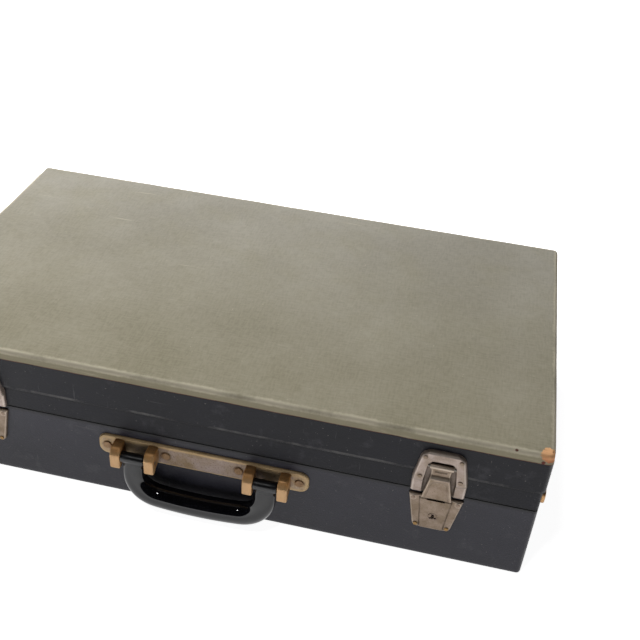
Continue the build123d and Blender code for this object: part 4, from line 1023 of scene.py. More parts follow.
def latch_plate(side, label):
    """An arched sheet with a rolled rim, a window with a raised lip, and two ears below.

    Height over the band is a quarter circle in from the outer edge; in the window it falls
    to the floor; below the shoulders it slopes back to the ears.
    """
    foot, top = latch_low[2], latch_high[2]
    shoulder = foot + 16.2
    bend = shoulder - 5.0
    window_top = top - 9.4
    arch, corner, window_corner = 9, 7.6, 3.5
    level = np.unique(np.concatenate([
        np.linspace(foot, bend, 9), np.linspace(bend, shoulder, 9),
        np.linspace(shoulder, top - arch, 24),
        top - arch * (1 - np.sin(np.linspace(0, np.pi / 2, 22)))]))
    outer = np.interp(level, [foot, shoulder, top], [21.4, 21.8, 16.4])
    outer = outer - corner_cut(level - (top - corner), corner)
    window = np.interp(level, [foot, shoulder, window_top], [12.6, 12.6, 10.4])
    past = np.minimum(level - (window_top - window_corner), window_corner - 0.1)
    window = np.minimum(window - corner_cut(past, window_corner), outer - 1.2)
    x = across_rows(window, outer, 41, 21)
    height = np.repeat(level[:, None], x.shape[1], 1)
    from_side = (outer[:, None] - np.abs(x)) * 0.99
    from_edge = np.minimum(from_side, (top - height) + 0.02)
    proud, drop_to_ears, sheet = 4.4, 2.7, 0.6
    face = band_out + proud - drop_to_ears * step(-height, -shoulder, -bend)
    rim = band_out + (face - band_out) * rounded(from_edge, 2.2)
    low_edge = rounded(height - foot + 0.35, 1.1)
    rim = band_out + (rim - band_out) * low_edge
    in_window = np.maximum(np.abs(x) - window[:, None], height - window_top)
    lip = step(in_window, -0.45, 0.5)
    dent_deep = 0.7
    dent = dent_deep * step(height, top - 9.8, top - 8.2) \
        * (1 - step(height, top - 6.6, top - 2.5))
    dent = dent * (1 - step(np.abs(x), 6.5, 10.5))
    floor_out = band_out + sheet
    out = floor_out + (rim - floor_out) * lip - dent * lip
    behind = np.where(height > ridge - 0.4, band_out, 0.0)
    out = np.maximum(out, behind + 0.35)
    # Painted shade: dark in the window, where the floor lies back behind the hasp, and a little
    # along the rim's outer edge.
    dirt_and_shade = np.clip(1 - lip + 0.2 * (1 - rounded(from_edge, 1.2)), 0, 1) * 0.7
    wear = bell(from_edge, 1.2, 0.9) * 0.7 * lip
    place_x = x + side * abs(latch_x)
    return make_sheet(f"latch_plate_sheet_{label}", "lid", rim_nickel,
                      on_front(place_x, out, height), on_front(place_x, behind, height),
                      {"dirt_and_shade": dirt_and_shade, "wear": wear}, replaces=[f"latch_plate_{label}"])


# %% [markdown]
# ## The hasp
# The hasp hangs in the window on its pin. It is one strip: rolled round the pin, narrow at
# the neck, then stepping forward into a dished tongue that widens downward. Its side view
# is a path, its width is a function of height, and a hook is bent back behind its lower
# edge.

# %% The hasp's strip and hook
hasp_low, hasp_high = low_high("hasp_left")
pin_low, pin_high = low_high("hasp_pin_left")
pin_level = (pin_low[2] + pin_high[2]) / 2
pin_out = -(pin_low[1] + pin_high[1]) / 2 - front_face


def prism(profile, low, high, edge, steps=4):
    """A closed profile of (out, level) carried along x, its ends rounded by an inset.

    Near each end the profile shrinks along its own normals by edge times one minus the
    sine of the share of the quarter circle that is left.
    """
    profile = np.asarray(profile, float)
    on = np.roll(profile, -1, 0) - np.roll(profile, 1, 0)
    on /= np.linalg.norm(on, axis=1, keepdims=True) + 1e-12
    area = np.sum(profile[:, 0] * np.roll(profile[:, 1], -1)
                  - np.roll(profile[:, 0], -1) * profile[:, 1])
    inward = np.stack([-on[:, 1], on[:, 0]], -1) * np.sign(area)
    turn = np.linspace(0, np.pi / 2, steps)
    between = np.linspace(low + edge, high - edge, 4)[1:-1]
    inset = np.concatenate([edge * (1 - np.sin(turn)), np.zeros(len(between)),
                            edge * (1 - np.sin(turn[::-1]))])
    x = np.concatenate([low + edge * (1 - np.cos(turn)), between,
                        high - edge * (1 - np.cos(turn[::-1]))])
    rings = profile[None] + inward[None] * inset[:, None, None]
    points = on_front(np.repeat(x[:, None], len(profile), 1), rings[..., 0], rings[..., 1])
    return points, tube_faces(len(x), len(profile))


def ring_tube(out, level, radius, bore, low, high, count=28, edge=0.4):
    """A tube along x with a bore: outer wall, rounded ends and inner wall in one closed loop."""
    rim = np.array([[bore, low + edge], [bore, low], [radius - edge, low],
                    [radius - 0.3 * edge, low + 0.3 * edge], [radius, low + edge],
                    [radius, high - edge], [radius - 0.3 * edge, high - 0.3 * edge],
                    [radius - edge, high], [bore, high], [bore, high - edge]])
    angle = np.linspace(0, 2 * np.pi, count, endpoint=False)
    points = on_front(rim[:, 1][:, None], out + rim[:, 0][:, None] * np.cos(angle),
                      level + rim[:, 0][:, None] * np.sin(angle))
    return points, grid_quads(len(rim), count, rows_meet=True)


def hasp(side, label):
    """Strip from the knuckle to the tongue's tip, its knuckle tube and its bent hook.

    The strip starts inside the tube and crosses its bore, where the pin hides it.
    """
    thickness, knuckle_half = 1.0, 9.2
    tip = hasp_low[2] + 2.8
    neck_out, face_out = band_out + thickness + 1.3, band_out + 4.8
    neck_end, tongue_top = pin_level - 10.2, pin_level - 12.6
    path = soften([(pin_out - 0.3, pin_level + 1.9), (pin_out + 1.4, pin_level + 1.3),
                   (neck_out + 0.6, pin_level - 3.0), (neck_out, neck_end + 0.6),
                   (face_out, tongue_top - 0.2), (face_out, tip + 0.9),
                   (face_out - 0.9, tip)],
                  [0, 1.2, 1.6, 1.4, 2.6, 0.9, 0])
    path = refine(path, 0.55)
    level, out = path[:, 1], path[:, 0]
    half = np.interp(level, [tip, tongue_top - 1, tongue_top + 1.2, neck_end + 1.5,
                             pin_level - 4.5, pin_level - 2.6, pin_level + 3],
                     [12.4, 8.2, 7.9, 7.8, 8.0, 9.0, knuckle_half])
    half = half - 1.0 * (1 - rounded(level - tip + 0.05, 1.0))
    share = np.sin(np.linspace(-np.pi / 2, np.pi / 2, 45))
    x = half[:, None] * share[None]
    height = np.repeat(level[:, None], x.shape[1], 1)
    from_side = half[:, None] - np.abs(x)
    fall = 0.75 * (1 - rounded(from_side, 0.9))
    arch, dish_deep, slot_deep = 5.0, 0.55, 0.55
    dish_edge = arch - np.hypot(np.clip(arch + 1.7 - from_side, 0, None),
                                np.clip(arch + 1.5 - tongue_top + height, 0, None))
    dish = dish_deep * step(dish_edge, 0.0, 1.6) * (height < tongue_top)
    slot = (1 - step(np.abs(height - (pin_level - 6.2)), 0.5, 1.1)) \
        * (1 - step(np.abs(x), 4.4, 5.4)) * slot_deep
    outer = on_front(x, out[:, None] - fall - dish - slot, height)
    inner_path = inner_row(path, thickness)
    inner_path[-1] = path[-1] - [0.25, 0]
    inner = on_front(x, inner_path[:, :1], inner_path[:, 1:])
    rows, cols = x.shape
    strip = np.concatenate([outer, inner]), shell_faces(rows, cols)
    roll = ring_tube(pin_out, pin_level, 2.1, 0.9, -knuckle_half, knuckle_half)
    back = hasp_high[1]
    lip_out = -(back + front_face)
    hook = prism([(face_out - 1.4, tip + 0.1), (lip_out + 1, tip), (lip_out + 1, tip - 2.8),
                  (lip_out, tip - 2.8), (lip_out, tip + 1), (face_out - 1.4, tip + 1)],
                 -6.0, 6.0, 0.15)
    points, faces = join_parts([strip, roll, hook])
    # Painted shade: dark in the tongue's dish and its slot, and over the hook bent back behind the
    # tongue.
    dirt_and_shade = np.zeros(len(points))
    count = rows * cols
    shade = 0.75 * step(dish / dish_deep, 0.5, 1.0) * (1 - step(dish_edge, 0.8, 2.4)) \
        + 0.6 * (slot > 0.1)
    dirt_and_shade[:count] = np.clip(shade, 0, 1).ravel()
    dirt_and_shade[-len(hook[0].reshape(-1, 3)):] = 0.4
    wear = np.zeros(len(points))
    wear[:count] = np.maximum(bell(from_side, 0.8, 0.7) * 0.6,
                              bell(height - tongue_top, 0.6, 1.3)).ravel()
    roll_points = slice(2 * count, 2 * count + len(roll[0].reshape(-1, 3)))
    wear[roll_points] = 1.0
    points[:, 0] += side * abs(latch_x)
    return make_piece(f"hasp_strip_{label}", f"hasp_{label}", nickel, points,
                      faces, {"dirt_and_shade": dirt_and_shade, "wear": wear}, crease=55,
                      replaces=[f"hasp_{label}"])


# %% [markdown]
# ## The lock plate
# The tapered plate on the base has a raised middle panel between two creases, two raised
# dimples at its top corners, a notch that the hook drops behind and a round hole for the
# key plug. Grid points near the hole are moved onto its circle, so that it comes out round.

# %% The lock plate
def lock_plate(side, label):
    """A tapered sheet: rolled rim, raised panel, dimples, an open notch and a round key hole."""
    low, high = plate_low[2], plate_high[2]
    key_low, key_high = low_high("key_plug_left")
    key_middle = (key_low[2] + key_high[2]) / 2
    key_reach, half_cell, corner = 4.08, 0.24, 4.0
    notch_low, notch_half = 68.8, 7.3
    level = np.unique(np.concatenate([
        low + corner * (1 - np.cos(np.linspace(0, np.pi / 2, 14))),
        np.linspace(low + corner, key_middle - 5, 6),
        np.linspace(key_middle - 5, key_middle + 5, 27),
        np.linspace(key_middle + 5, notch_low, 18), np.linspace(notch_low, high, 10)]).round(4))
    outer = np.interp(level, [low, high], [15.5, 22.0])
    outer = outer - corner_cut(low + corner - level, corner) * 0.95
    inner = np.full(len(level), notch_half)
    x = across_rows(inner, outer, 41, 31)
    height = np.repeat(level[:, None], x.shape[1], 1)
    gap = np.hypot(x, height - key_middle)
    near = np.abs(gap - key_reach) < half_cell
    scale = np.where(near, key_reach / np.maximum(gap, 1e-6), 1.0)
    x, height = x * scale, key_middle + (height - key_middle) * scale
    gap = np.hypot(x, height - key_middle)
    from_side = (outer[:, None] - np.abs(x)) * 0.98
    from_edge = np.minimum(np.minimum(from_side, height - low + 0.02), high - height + 0.5)
    proud, panel_proud = 2.8, 0.5
    sheet = proud * rounded(from_edge, 1.5)
    panel_half = np.interp(height, [low, high], [9.4, 12.8])
    panel_rise = panel_proud * (1 - step(np.abs(x) - panel_half, -0.9, 0.0)) \
        * rounded(from_edge - 0.4, 1.2)
    crease_line = bell(np.abs(x) - panel_half, 0.25, 0.45) * 0.35 * step(from_edge, 0.6, 1.6)
    dimple_x, dimple_level, dimple_radius = 17.9, high - 3.5, 2.2
    dimple = 0.55 * bell(np.hypot(np.abs(x) - dimple_x, height - dimple_level),
                         dimple_radius, 0.7)
    out = np.maximum(sheet + panel_rise - crease_line + dimple * step(from_edge, 0.2, 1.0), 0.3)
    middle_x = (x[:-1, :-1] + x[1:, 1:]) / 2
    middle_z = (height[:-1, :-1] + height[1:, 1:]) / 2
    keep = ~((np.abs(middle_x) < notch_half - 0.01) & (middle_z > notch_low))
    keep &= np.hypot(middle_x, middle_z - key_middle) > key_reach
    inner_out = np.clip(out - 1.0, 0.0, 2.3)
    inner_out = np.where(from_edge < 1.4, 0.0, inner_out)
    # Painted shade: dark in the creases, round the key hole and in the gap below the hasp's tongue
    # over the notch; a dark spot is also painted near each lower corner.
    dirt_and_shade = np.clip(crease_line * 2.4 + 0.3 * bell(gap, key_reach, 0.5)
                    + 0.95 * bell(height - notch_low, 1.3, 1.0)
                    * (1 - step(np.abs(x), 12.5, 14.0))
                    + 0.55 * bell(np.hypot(np.abs(x) - 12.8, height - low - 3.5), 0, 2.6), 0, 1)
    wear = np.clip(bell(from_edge, 0.9, 0.7) * 0.7 + dimple * 1.2, 0, 1)
    place_x = x + side * abs(latch_x)
    return make_sheet(f"lock_plate_sheet_{label}", "base", nickel,
                      on_front(place_x, out, height), on_front(place_x, inner_out, height),
                      {"dirt_and_shade": dirt_and_shade, "wear": wear}, keep=keep,
                      replaces=[f"lock_plate_{label}"])


for side, label in ((-1, "left"), (1, "right")):
    latch_plate(side, label)
    hasp(side, label)
    lock_plate(side, label)

# %% [markdown]
# ## The moulded handle
# The handle is one moulding: two barrels that turn on the pins, two arms that thicken as
# they come down, round elbows and a thick, slightly bowed grip. Its body is one oval swept
# along a U-shaped path, with a faint parting line where the two halves of the mould met.
# The arms end inside the barrels on a curve round the pin. The next ring of points still
# crosses the bore, which the pin fills, so it can't be seen.

# %% The handle
def handle_piece():
    """An oval carried down one arm, round the elbows and up the other, with two bored barrels.

    The grip bows downward on a circle that the elbows meet without a kink. The oval's half
    width and half depth go from the arm's head to its foot along a smooth step. The parting
    line is a narrow bell curve added to the oval where it faces along the handle's own plane.
    """
    low, _ = low_high("handle")
    lugs_low, lugs_high = low_high("handle_pins")
    pin_out = -(lugs_low[1] + lugs_high[1]) / 2 - front_face
    pin_level = (lugs_low[2] + lugs_high[2]) / 2
    pins_past_arm = 19.1
    arm_x = lugs_high[0] - pins_past_arm
    barrel_radius, barrel_bore, barrel_half, arm_end = 4.8, 1.65, 10, 3.2
    elbow, grip = 23.5, low[2] + 9.0
    lean = math.radians(6.5)
    grip_x = arm_x - elbow * (1 - math.sin(lean))
    bow_radius = grip_x / math.sin(lean)
    bend_level = grip + elbow * math.cos(lean) + bow_radius * (1 - math.cos(lean))
    down = np.linspace(pin_level, bend_level, 16)[:-1]
    turn = np.linspace(0, np.pi / 2 - lean, 17)[:-1]
    bow = np.linspace(lean, 0, 14)
    half_x = np.concatenate([np.full(len(down), arm_x), arm_x - elbow * (1 - np.cos(turn)),
                             bow_radius * np.sin(bow)])
    half_z = np.concatenate([down, bend_level - elbow * np.sin(turn),
                             grip + bow_radius * (1 - np.cos(bow))])
    path = np.concatenate([np.stack([-half_x, half_z], -1),
                           np.stack([half_x, half_z], -1)[-2::-1]])
    facing = np.concatenate([np.zeros(len(down)), turn, np.pi / 2 - bow])
    normal = np.stack([np.cos(facing), np.sin(facing)], -1)
    normal = np.concatenate([-normal, normal[-2::-1] * [1, -1]])
    to_foot = step(-path[:, 1], -pin_level + 2, -grip - 5)
    head_width, foot_wider, head_depth, foot_deeper = 9.0, 0.8, 4.3, 5.2
    width = head_width + foot_wider * to_foot
    depth = head_depth + foot_deeper * to_foot
    beside_seam = np.array([-0.05, -0.025, 0.025, 0.05])
    angle = np.unique(np.concatenate([np.linspace(0, 2 * np.pi, 57)[:-1],
                                      np.pi + beside_seam, beside_seam % (2 * np.pi)]))
    seam_proud, seam_width, squareness = 0.14, 0.022, 0.94
    seam = seam_proud * bell(np.sin(angle), 0, seam_width)
    around = np.sign(np.cos(angle)) * np.abs(np.cos(angle)) ** squareness
    outward = np.sign(np.sin(angle)) * np.abs(np.sin(angle)) ** squareness
    side_way = (width - 0.15)[:, None] * around + seam * np.sign(np.cos(angle))
    x = path[:, :1] + normal[:, :1] * side_way
    z = path[:, 1:] + normal[:, 1:] * side_way
    out = pin_out + depth[:, None] * outward
    across = out[0] - pin_out
    arch = pin_level - np.sqrt(np.clip(arm_end ** 2 - across ** 2, 0, None))
    z[0], z[-1] = arch, arch
    body = on_front(x, out, z), tube_faces(len(path), len(angle))
    barrels = [ring_tube(pin_out, pin_level, barrel_radius, barrel_bore,
                         s * arm_x - barrel_half, s * arm_x + barrel_half, 40, 0.8)
               for s in (-1, 1)]
    points, faces = join_parts([body, *barrels])
    wear = np.ones(len(points))
    wear[: z.size] = step(z, pin_level - 9, pin_level - 5).ravel()
    return make_piece("handle_moulding", "handle", plastic, points, faces,
                      {"wear": wear}, crease=48, replaces=["handle"])


handle_piece()

# %% [markdown]
# ## The handle plate and its lugs
# A long cast plate with rolled edges, its plating pitted in the middle and rubbed down to
# brown brass along the rim. Four lugs stand out of it and curl down over the pins. They are
# profiles seen from the side, extruded across and eased at every edge.

# %% The plate and the lugs
def handle_plate_piece():
    """A plate whose height over the board is a quarter circle in from its outline."""
    low, high = low_high("handle_plate")
    thick, corner, rivet_places = 2.4, 8.0, (31.5, 83.0)
    half_x, half_z = high[0], (high[2] - low[2]) / 2 - 0.7
    middle = high[2] - half_z
    reach = np.linspace(0, np.pi / 2, 20)
    x_half = np.unique(np.concatenate([np.linspace(0, half_x - corner, 70),
                                       half_x - corner + corner * np.sin(reach)]).round(4))
    x = np.concatenate([-x_half[:0:-1], x_half])
    half = half_z - corner_cut(np.abs(x) - (half_x - corner), corner)
    share = np.sin(np.linspace(-np.pi / 2, np.pi / 2, 41))
    level = middle + half[None] * share[:, None]
    wide = np.repeat(x[None], len(share), 0)
    from_end = half_x - np.abs(wide)
    beyond = np.hypot(np.clip(np.abs(wide) - half_x + corner, 0, None),
                      np.clip(np.abs(level - middle) - half_z + corner, 0, None))
    from_edge = np.minimum(np.minimum(from_end, half_z - np.abs(level - middle)),
                           np.where(beyond > 0, corner - beyond, np.inf))
    face = np.stack([wide, level, np.zeros_like(level)], -1)
    pits, bulge = ripple(face, 5.0, 21), 0.12 * ripple(face, 34.0, 22)
    out = thick * (0.1 + 0.9 * rounded(from_edge + 0.03, 1.7)) \
        + (0.05 * pits + bulge) * step(from_edge, 0.6, 2.5)
    out = np.clip(out, 0.2, thick + 0.25)
    wear = np.clip(bell(from_edge, 0.9, 1.3)
                   + 0.9 * step(level - middle, half_z - 5.0, half_z - 1.0)
                   + 0.6 * step(np.abs(wide), 34, 62) + 0.2 * pits, 0, 1)
    near_rivet = np.minimum(*(np.hypot(np.abs(wide) - c, level - middle)
                              for c in rivet_places))
    dirt_and_shade = 0.8 * bell(near_rivet, 4.3, 0.9)
    return make_sheet("handle_plate_sheet", "base", pitted_brass,
                      on_front(wide, out, level), on_front(wide, 0, level),
                      {"wear": wear, "dirt_and_shade": dirt_and_shade}, replaces=["handle_plate"])


def handle_lugs():
    """Four like lugs: a side profile with rounded shoulders, extruded 8.8 mm across."""
    profile = soften([(1.4, 65.6), (11.8, 65.6), (16.6, 59.6), (16.6, 46.0), (13.0, 45.0),
                      (6.2, 50.2), (1.4, 50.2)], [0.8, 5.5, 4.5, 1.6, 1.4, 2.2, 0.8], True, 7)
    lug_half, lug_places = 4.4, (42.2, 71.6)
    lugs = [prism(profile, s * c - lug_half, s * c + lug_half, 1.3, 6)
            for s in (-1, 1) for c in lug_places]
    points, faces = join_parts(lugs)
    out = -points[:, 1] - front_face
    wear = np.clip(step(out, 12, 16.6) * 0.9 + 0.35 * ripple(points, 9, 31), 0, 1)
    # Painted shade: each lug darkens where it stands out of the plate.
    dirt_and_shade = np.clip(1 - step(out, 2.2, 4.2), 0, 1) * 0.7
    return make_piece("handle_lugs", "base", lug_brass, points, faces,
                      {"wear": wear, "dirt_and_shade": dirt_and_shade}, crease=45)


handle_plate_piece()
handle_lugs()

# %% [markdown]
# ## The plush lining
# The inside is lined in short plush glued to the boards: one skin for the base's floor and
# walls, and one band round the lid's walls. Each is a profile carried round, with an eased
# fold at its upper edge and a soft radius along the floor, where plush never reaches right
# into the corner.

# %% Linings of the base and the lid
bay_half = low_high("lid_pad")[1][:2]
bay_floor = low_high("valve_bed")[0][2]
bay_turn = 2.0


def lining_skin(name, body, profile, back, meets, node):
    """A plush skin carried round the inside: walls a little uneven, upper edge rubbed."""
    outer = carried(template, bay_half, bay_turn, profile)
    inner = carried(template, bay_half, bay_turn, back)
    on_wall = step(outer[..., 2], bay_floor + 4, bay_floor + 9)
    outward = np.stack([template[2], template[3], np.zeros(len(template[2]))], -1)
    outer = outer + outward * (0.12 * (1 + ripple(outer, 42, len(name))) * on_wall)[..., None]
    wear = np.clip(step(outer[..., 2], profile[:, 1].max() - 4, profile[:, 1].max() - 0.5)
                   * (0.5 + 0.5 * ripple(outer, 70, 9)), 0, 1) * on_wall
    return make_sheet(name, body, plush, outer, inner, {"wear": wear}, crease=40,
                      wrap=True, meets=meets, replaces=[node])


def base_lining_piece():
    """From the middle of the floor outward, up the walls, and over their folded edge."""
    low, high = low_high("base_lining")
    thick = bay_floor - low[2]
    top = high[2]
    floor = np.concatenate([np.linspace(-bay_half[1], -24, 18), np.linspace(-21, -3, 7)])
    corners = refine(soften([(-2.5, bay_floor - 0.05), (0, bay_floor - 0.05), (0, top - 0.1),
                             (thick - 0.1, top - 0.1)], [0, 2.2, 0.8, 0]), 4.0)
    profile = np.concatenate([np.stack([floor, np.full(len(floor), bay_floor - 0.05)], -1),
                              corners])
    back = np.stack([np.where(profile[:, 1] > bay_floor + 2.2, thick - 0.08,
                              np.minimum(profile[:, 0] + thick * 0.9, thick - 0.08)),
                     np.where(profile[:, 0] < -3, low[2] + 0.08,
                              np.maximum(profile[:, 1] - thick * 0.9, low[2] + 0.08))], -1)
    back[profile[:, 0] < -3, 0] = profile[profile[:, 0] < -3, 0]
    return lining_skin("base_plush", "base", profile, back, True, "base_lining")


def lid_lining_piece():
    """Down the lid's walls from the pad to the folded edge by the rim."""
    low, high = low_high("lid_wall_lining")
    thick = high[0] - bay_half[0]
    profile = refine(soften([(0, high[2] - 0.1), (0, low[2] + 0.1), (thick - 0.1, low[2] + 0.1)],
                            [0, 0.8, 0]), 4.0)
    back = np.stack([np.full(len(profile), thick - 0.08),
                     np.maximum(profile[:, 1], low[2] + 0.1)], -1)
    return lining_skin("lid_wall_plush", "lid", profile, back, False, "lid_wall_lining")


base_lining_piece()
lid_lining_piece()

# %% [markdown]
# ## Padded blocks
# Foam and board under plush: no corner is sharp, the top is crowned, and the sides pull in
# between the corners, because the cloth is drawn tight round them. A block starts as the
# six faces of a box; its points are drawn onto rounded edges, and then onto the crown.

# %% Shapes for covered blocks
def eased(points, low, high, edge):
    """Points on a box moved onto the same box with rounded edges.

    The nearest point of the box made smaller by the edge radius is the centre; the point
    then lies one radius from it, in the direction where it was.
    """
    core = np.clip(points, low + edge, high - edge)
    away_from = points - core
    far = np.linalg.norm(away_from, axis=-1, keepdims=True)
    return core + away_from / np.maximum(far, 1e-9) * edge


def drawn_in(points, low, high, crown, pull, seed, rough=0.12):
    """Crown the top by the crown height and pull the sides in between their corners."""
    middle, half = (low + high) / 2, (high - low) / 2
    share = np.clip((points - middle) / half, -1, 1)
    x, y, z = share[..., 0], share[..., 1], share[..., 2]
    moved = points.copy()
    moved[..., 2] -= crown * np.clip(z, 0, 1) * (1 - (1 - x ** 2) * (1 - y ** 2))
    rise = (1 - z ** 4) * pull
    moved[..., 0] -= x * (1 - y ** 2) * rise
    moved[..., 1] -= y * (1 - x ** 2) * rise
    facing = share ** 9
    facing /= np.linalg.norm(facing, axis=-1, keepdims=True) + 1e-9
    facing[..., 2] = np.clip(facing[..., 2], 0, 1)
    return moved + facing * (rough * (ripple(points, 34, seed) - 1))[..., None]


def cut_marks(low, high, edge, spacing):
    """Places along one side of a box: close together on the rounded edges, wider between."""
    count = max(3, int((high - low - 2 * edge) / spacing) + 2)
    return np.concatenate([low + edge * (1 - np.cos(np.linspace(0, np.pi / 2, 6))),
                           np.linspace(low + edge, high - edge, count)[1:-1],
                           high - edge * (1 - np.sin(np.linspace(0, np.pi / 2, 6)))])


def box_grids(low, high, edge, spacing, skip_top=False):
    """The faces of a box as grids of points, each with its quads."""
    marks = [cut_marks(low[k], high[k], edge, spacing) for k in range(3)]
    parts = []
    for axis in range(3):
        a, b = [k for k in range(3) if k != axis]
        for level in (low[axis], high[axis]):
            if skip_top and axis == 2 and level == high[2]:
                continue
            grid_a, grid_b = np.meshgrid(marks[a], marks[b], indexing="ij")
            points = np.zeros(grid_a.shape + (3,))
            points[..., a], points[..., b], points[..., axis] = grid_a, grid_b, level
            quads = grid_quads(*grid_a.shape, cols_meet=False)[:, [0, 3, 2, 1]]
            parts.append((points, quads))
    return parts, marks


def edge_wear(points, low, high, start, slope, size, seed):
    """Wear along a box's edges: high where two of the shares of its half sizes are near 1."""
    share = np.abs((points - (low + high) / 2) / ((high - low) / 2))
    rim = np.clip((np.sort(share, axis=-1)[:, 1] - start) * slope, 0, 1)
    return np.clip(rim * (0.6 + 0.4 * ripple(points, size, seed)), 0, 1)


def block_shell(low, high, edge, crown, pull, spacing, seed, upside_down=False, rough=0.12):
    """One covered box: its points, its faces, and the wear on its edges."""
    points, faces = join_parts(box_grids(low, high, edge, spacing)[0])
    points = eased(points, low, high, edge)
    if upside_down:
        points[:, 2] = low[2] + high[2] - points[:, 2]
    points = drawn_in(points, low, high, crown, pull, seed, rough)
    if upside_down:
        points[:, 2] = low[2] + high[2] - points[:, 2]
    return points, faces, edge_wear(points, low, high, 0.9, 8, 30, seed + 1)


def covered_block(name, body, node, edge, crown, pull, spacing, seed, upside_down=False,
                  rough=0.12):
    """A plush-covered block in the room of a measured one."""
    low, high = low_high(node)
    points, faces, wear = block_shell(low, high, edge, crown, pull, spacing, seed, upside_down,
                                      rough)
    piece = make_piece(name, body, plush, points, faces, {"wear": wear},
                       crease=60, replaces=[node])
    return piece


def partition_piece():
    """The long wall, and behind it the low ledge between the box ends that the lid rests on."""
    low, high = low_high("long_partition")
    end_low, end_high = low_high("accessory_box_left_end")
    far_end_low, _ = low_high("accessory_box_right_end")
    flap_low, _ = low_high("accessory_lid")
    ledge_height, into_wall, clear = 3.0, 1.2, 0.05
    wall_high = np.array([high[0], end_low[1], high[2]])
    ledge_low = np.array([end_high[0], end_low[1] - into_wall, flap_low[2] - ledge_height])
    ledge_high = np.array([far_end_low[0], high[1], flap_low[2] - clear])
    wall = block_shell(low, wall_high, 2.2, 0.4, 0.0, 6.0, 43, rough=0.08)
    ledge = block_shell(ledge_low, ledge_high, 0.9, 0.0, 0.0, 6.0, 47, rough=0.05)
    points, faces = join_parts([wall[:2], ledge[:2]])
    return make_piece("long_partition_plush", "base", plush, points, faces,
                      {"wear": np.concatenate([wall[2], ledge[2]])}, crease=60,
                      replaces=["long_partition"])


covered_block("lid_pad_plush", "lid", "lid_pad", edge=2.6, crown=2.2, pull=0.5,
              spacing=7.0, seed=41, upside_down=True, rough=0.3)
covered_block("valve_bed_pad", "base", "valve_bed", edge=4.0, crown=3.2,
              pull=1.6, spacing=5.0, seed=42)
partition_piece()
for side, seed in (("left", 44), ("right", 45)):
    covered_block(f"accessory_end_{side}_plush", "base", f"accessory_box_{side}_end",
                  edge=1.8, crown=0.3, pull=0.0, spacing=5.0, seed=seed, rough=0.05)
covered_block("accessory_lid_plush", "accessory_lid", "accessory_lid", edge=1.9,
              crown=0.5, pull=0.2, spacing=5.0, seed=46, rough=0.06)

# %% [markdown]
# ## Rests with rounded notches
# Two padded blocks have notches for tubes and for the bell's neck. Seen from the end, such
# a block is a rounded rectangle whose height changes along its length, so it is built as a
# row of rings. The lip of each notch is an arc that touches both the flat top and the round.

# %% Rests
def top_line(low, high, top, notches, lip):
    """Places along the block and its height there, with each notch's round and its two lips.

    The lip's centre is one lip radius under the top and one lip radius outside the notch's
    circle, so the lip meets both without a corner.
    """
    places, heights = [], []
    start = low
    for centre, level, radius in notches:
        rise = top - lip - level
        reach = np.sqrt((radius + lip) ** 2 - rise ** 2)
        count = max(2, int((centre - reach - start) / 4))
        places.append(np.linspace(start, centre - reach, count + 1)[:-1])
        heights.append(np.full(count, top))
        sweep = np.pi / 2 + np.arctan2(rise, reach)
        turn = np.linspace(0, sweep, 7)[:-1]
        left_y = centre - reach + lip * np.sin(turn)
        left_z = top - lip + lip * np.cos(turn)
        bottom = np.linspace(-sweep, sweep, 19)
        round_y, round_z = centre + radius * np.sin(bottom), level - radius * np.cos(bottom)
        places += [left_y, round_y, (2 * centre - left_y)[::-1]]
        heights += [left_z, round_z, left_z[::-1]]
        start = centre + reach
    count = max(2, int((high - start) / 4))
    places.append(np.linspace(start, high, count + 1)[1:])
    heights.append(np.full(count, top))
    return np.concatenate(places), np.concatenate(heights)


def notched_block(name, node, notches, edge, crown, seed):
    """Rings of a rounded rectangle along y, closed at both ends by rounded, crowned caps.

    A notch is its middle along y, the level of its circle's middle and its radius.
    """
    low, high = low_high(node)
    y, top = top_line(low[1] + edge, high[1] - edge, high[2], notches, 3.0)
    middle, half = (low[0] + high[0]) / 2, (high[0] - low[0]) / 2
    turn = np.linspace(0, np.pi / 2, 6)
    fore, aft = turn[:-1], turn[-2::-1]
    y = np.concatenate([low[1] + edge * (1 - np.cos(fore)), y,
                        high[1] - edge * (1 - np.cos(aft))])
    inset = np.concatenate([edge * (1 - np.sin(fore)), np.zeros(len(top)),
                            edge * (1 - np.sin(aft))])
    ends = np.full(len(fore), high[2])
    top = np.concatenate([ends, top, ends]) - inset
    half = half - inset
    up = np.linspace(0, 1, 12)[:, None]
    arc = turn[1:-1][:, None]
    across = np.linspace(-1, 1, 9)[:, None]
    left_x, left_z = -np.ones_like(up) * half, low[2] + up * (top - edge - low[2])
    corner_x, corner_z = -half + edge * (1 - np.cos(arc)), top - edge + edge * np.sin(arc)
    top_x, top_z = across * (half - edge), np.repeat(top[None], len(across), 0)
    base_x = -across[1:-1] * half
    ring_x = np.concatenate([left_x, corner_x, top_x, -corner_x[::-1], -left_x[::-1], base_x])
    ring_z = np.concatenate([left_z, corner_z, top_z, corner_z[::-1], left_z[::-1],
                             np.full_like(base_x, low[2])])
    points = np.stack([middle + ring_x.T, np.repeat(y[:, None], len(ring_x), 1), ring_z.T], -1)
    share = np.array([0.9, 0.7, 0.45, 0.2])[:, None, None]
    caps = [ring.mean(0) + (ring - ring.mean(0)) * share for ring in (points[0], points[-1])]
    points = np.concatenate([caps[0][::-1], points, caps[1]])
    faces = tube_faces(*points.shape[:2])
    points = drawn_in(points.reshape(-1, 3), low, high, crown, 0.9, seed)
    wear = edge_wear(points, low, high, 0.88, 7, 25, seed + 3)
    piece = make_piece(name, "base", plush, points, faces, {"wear": wear},
                       crease=60, replaces=[node])
    return piece


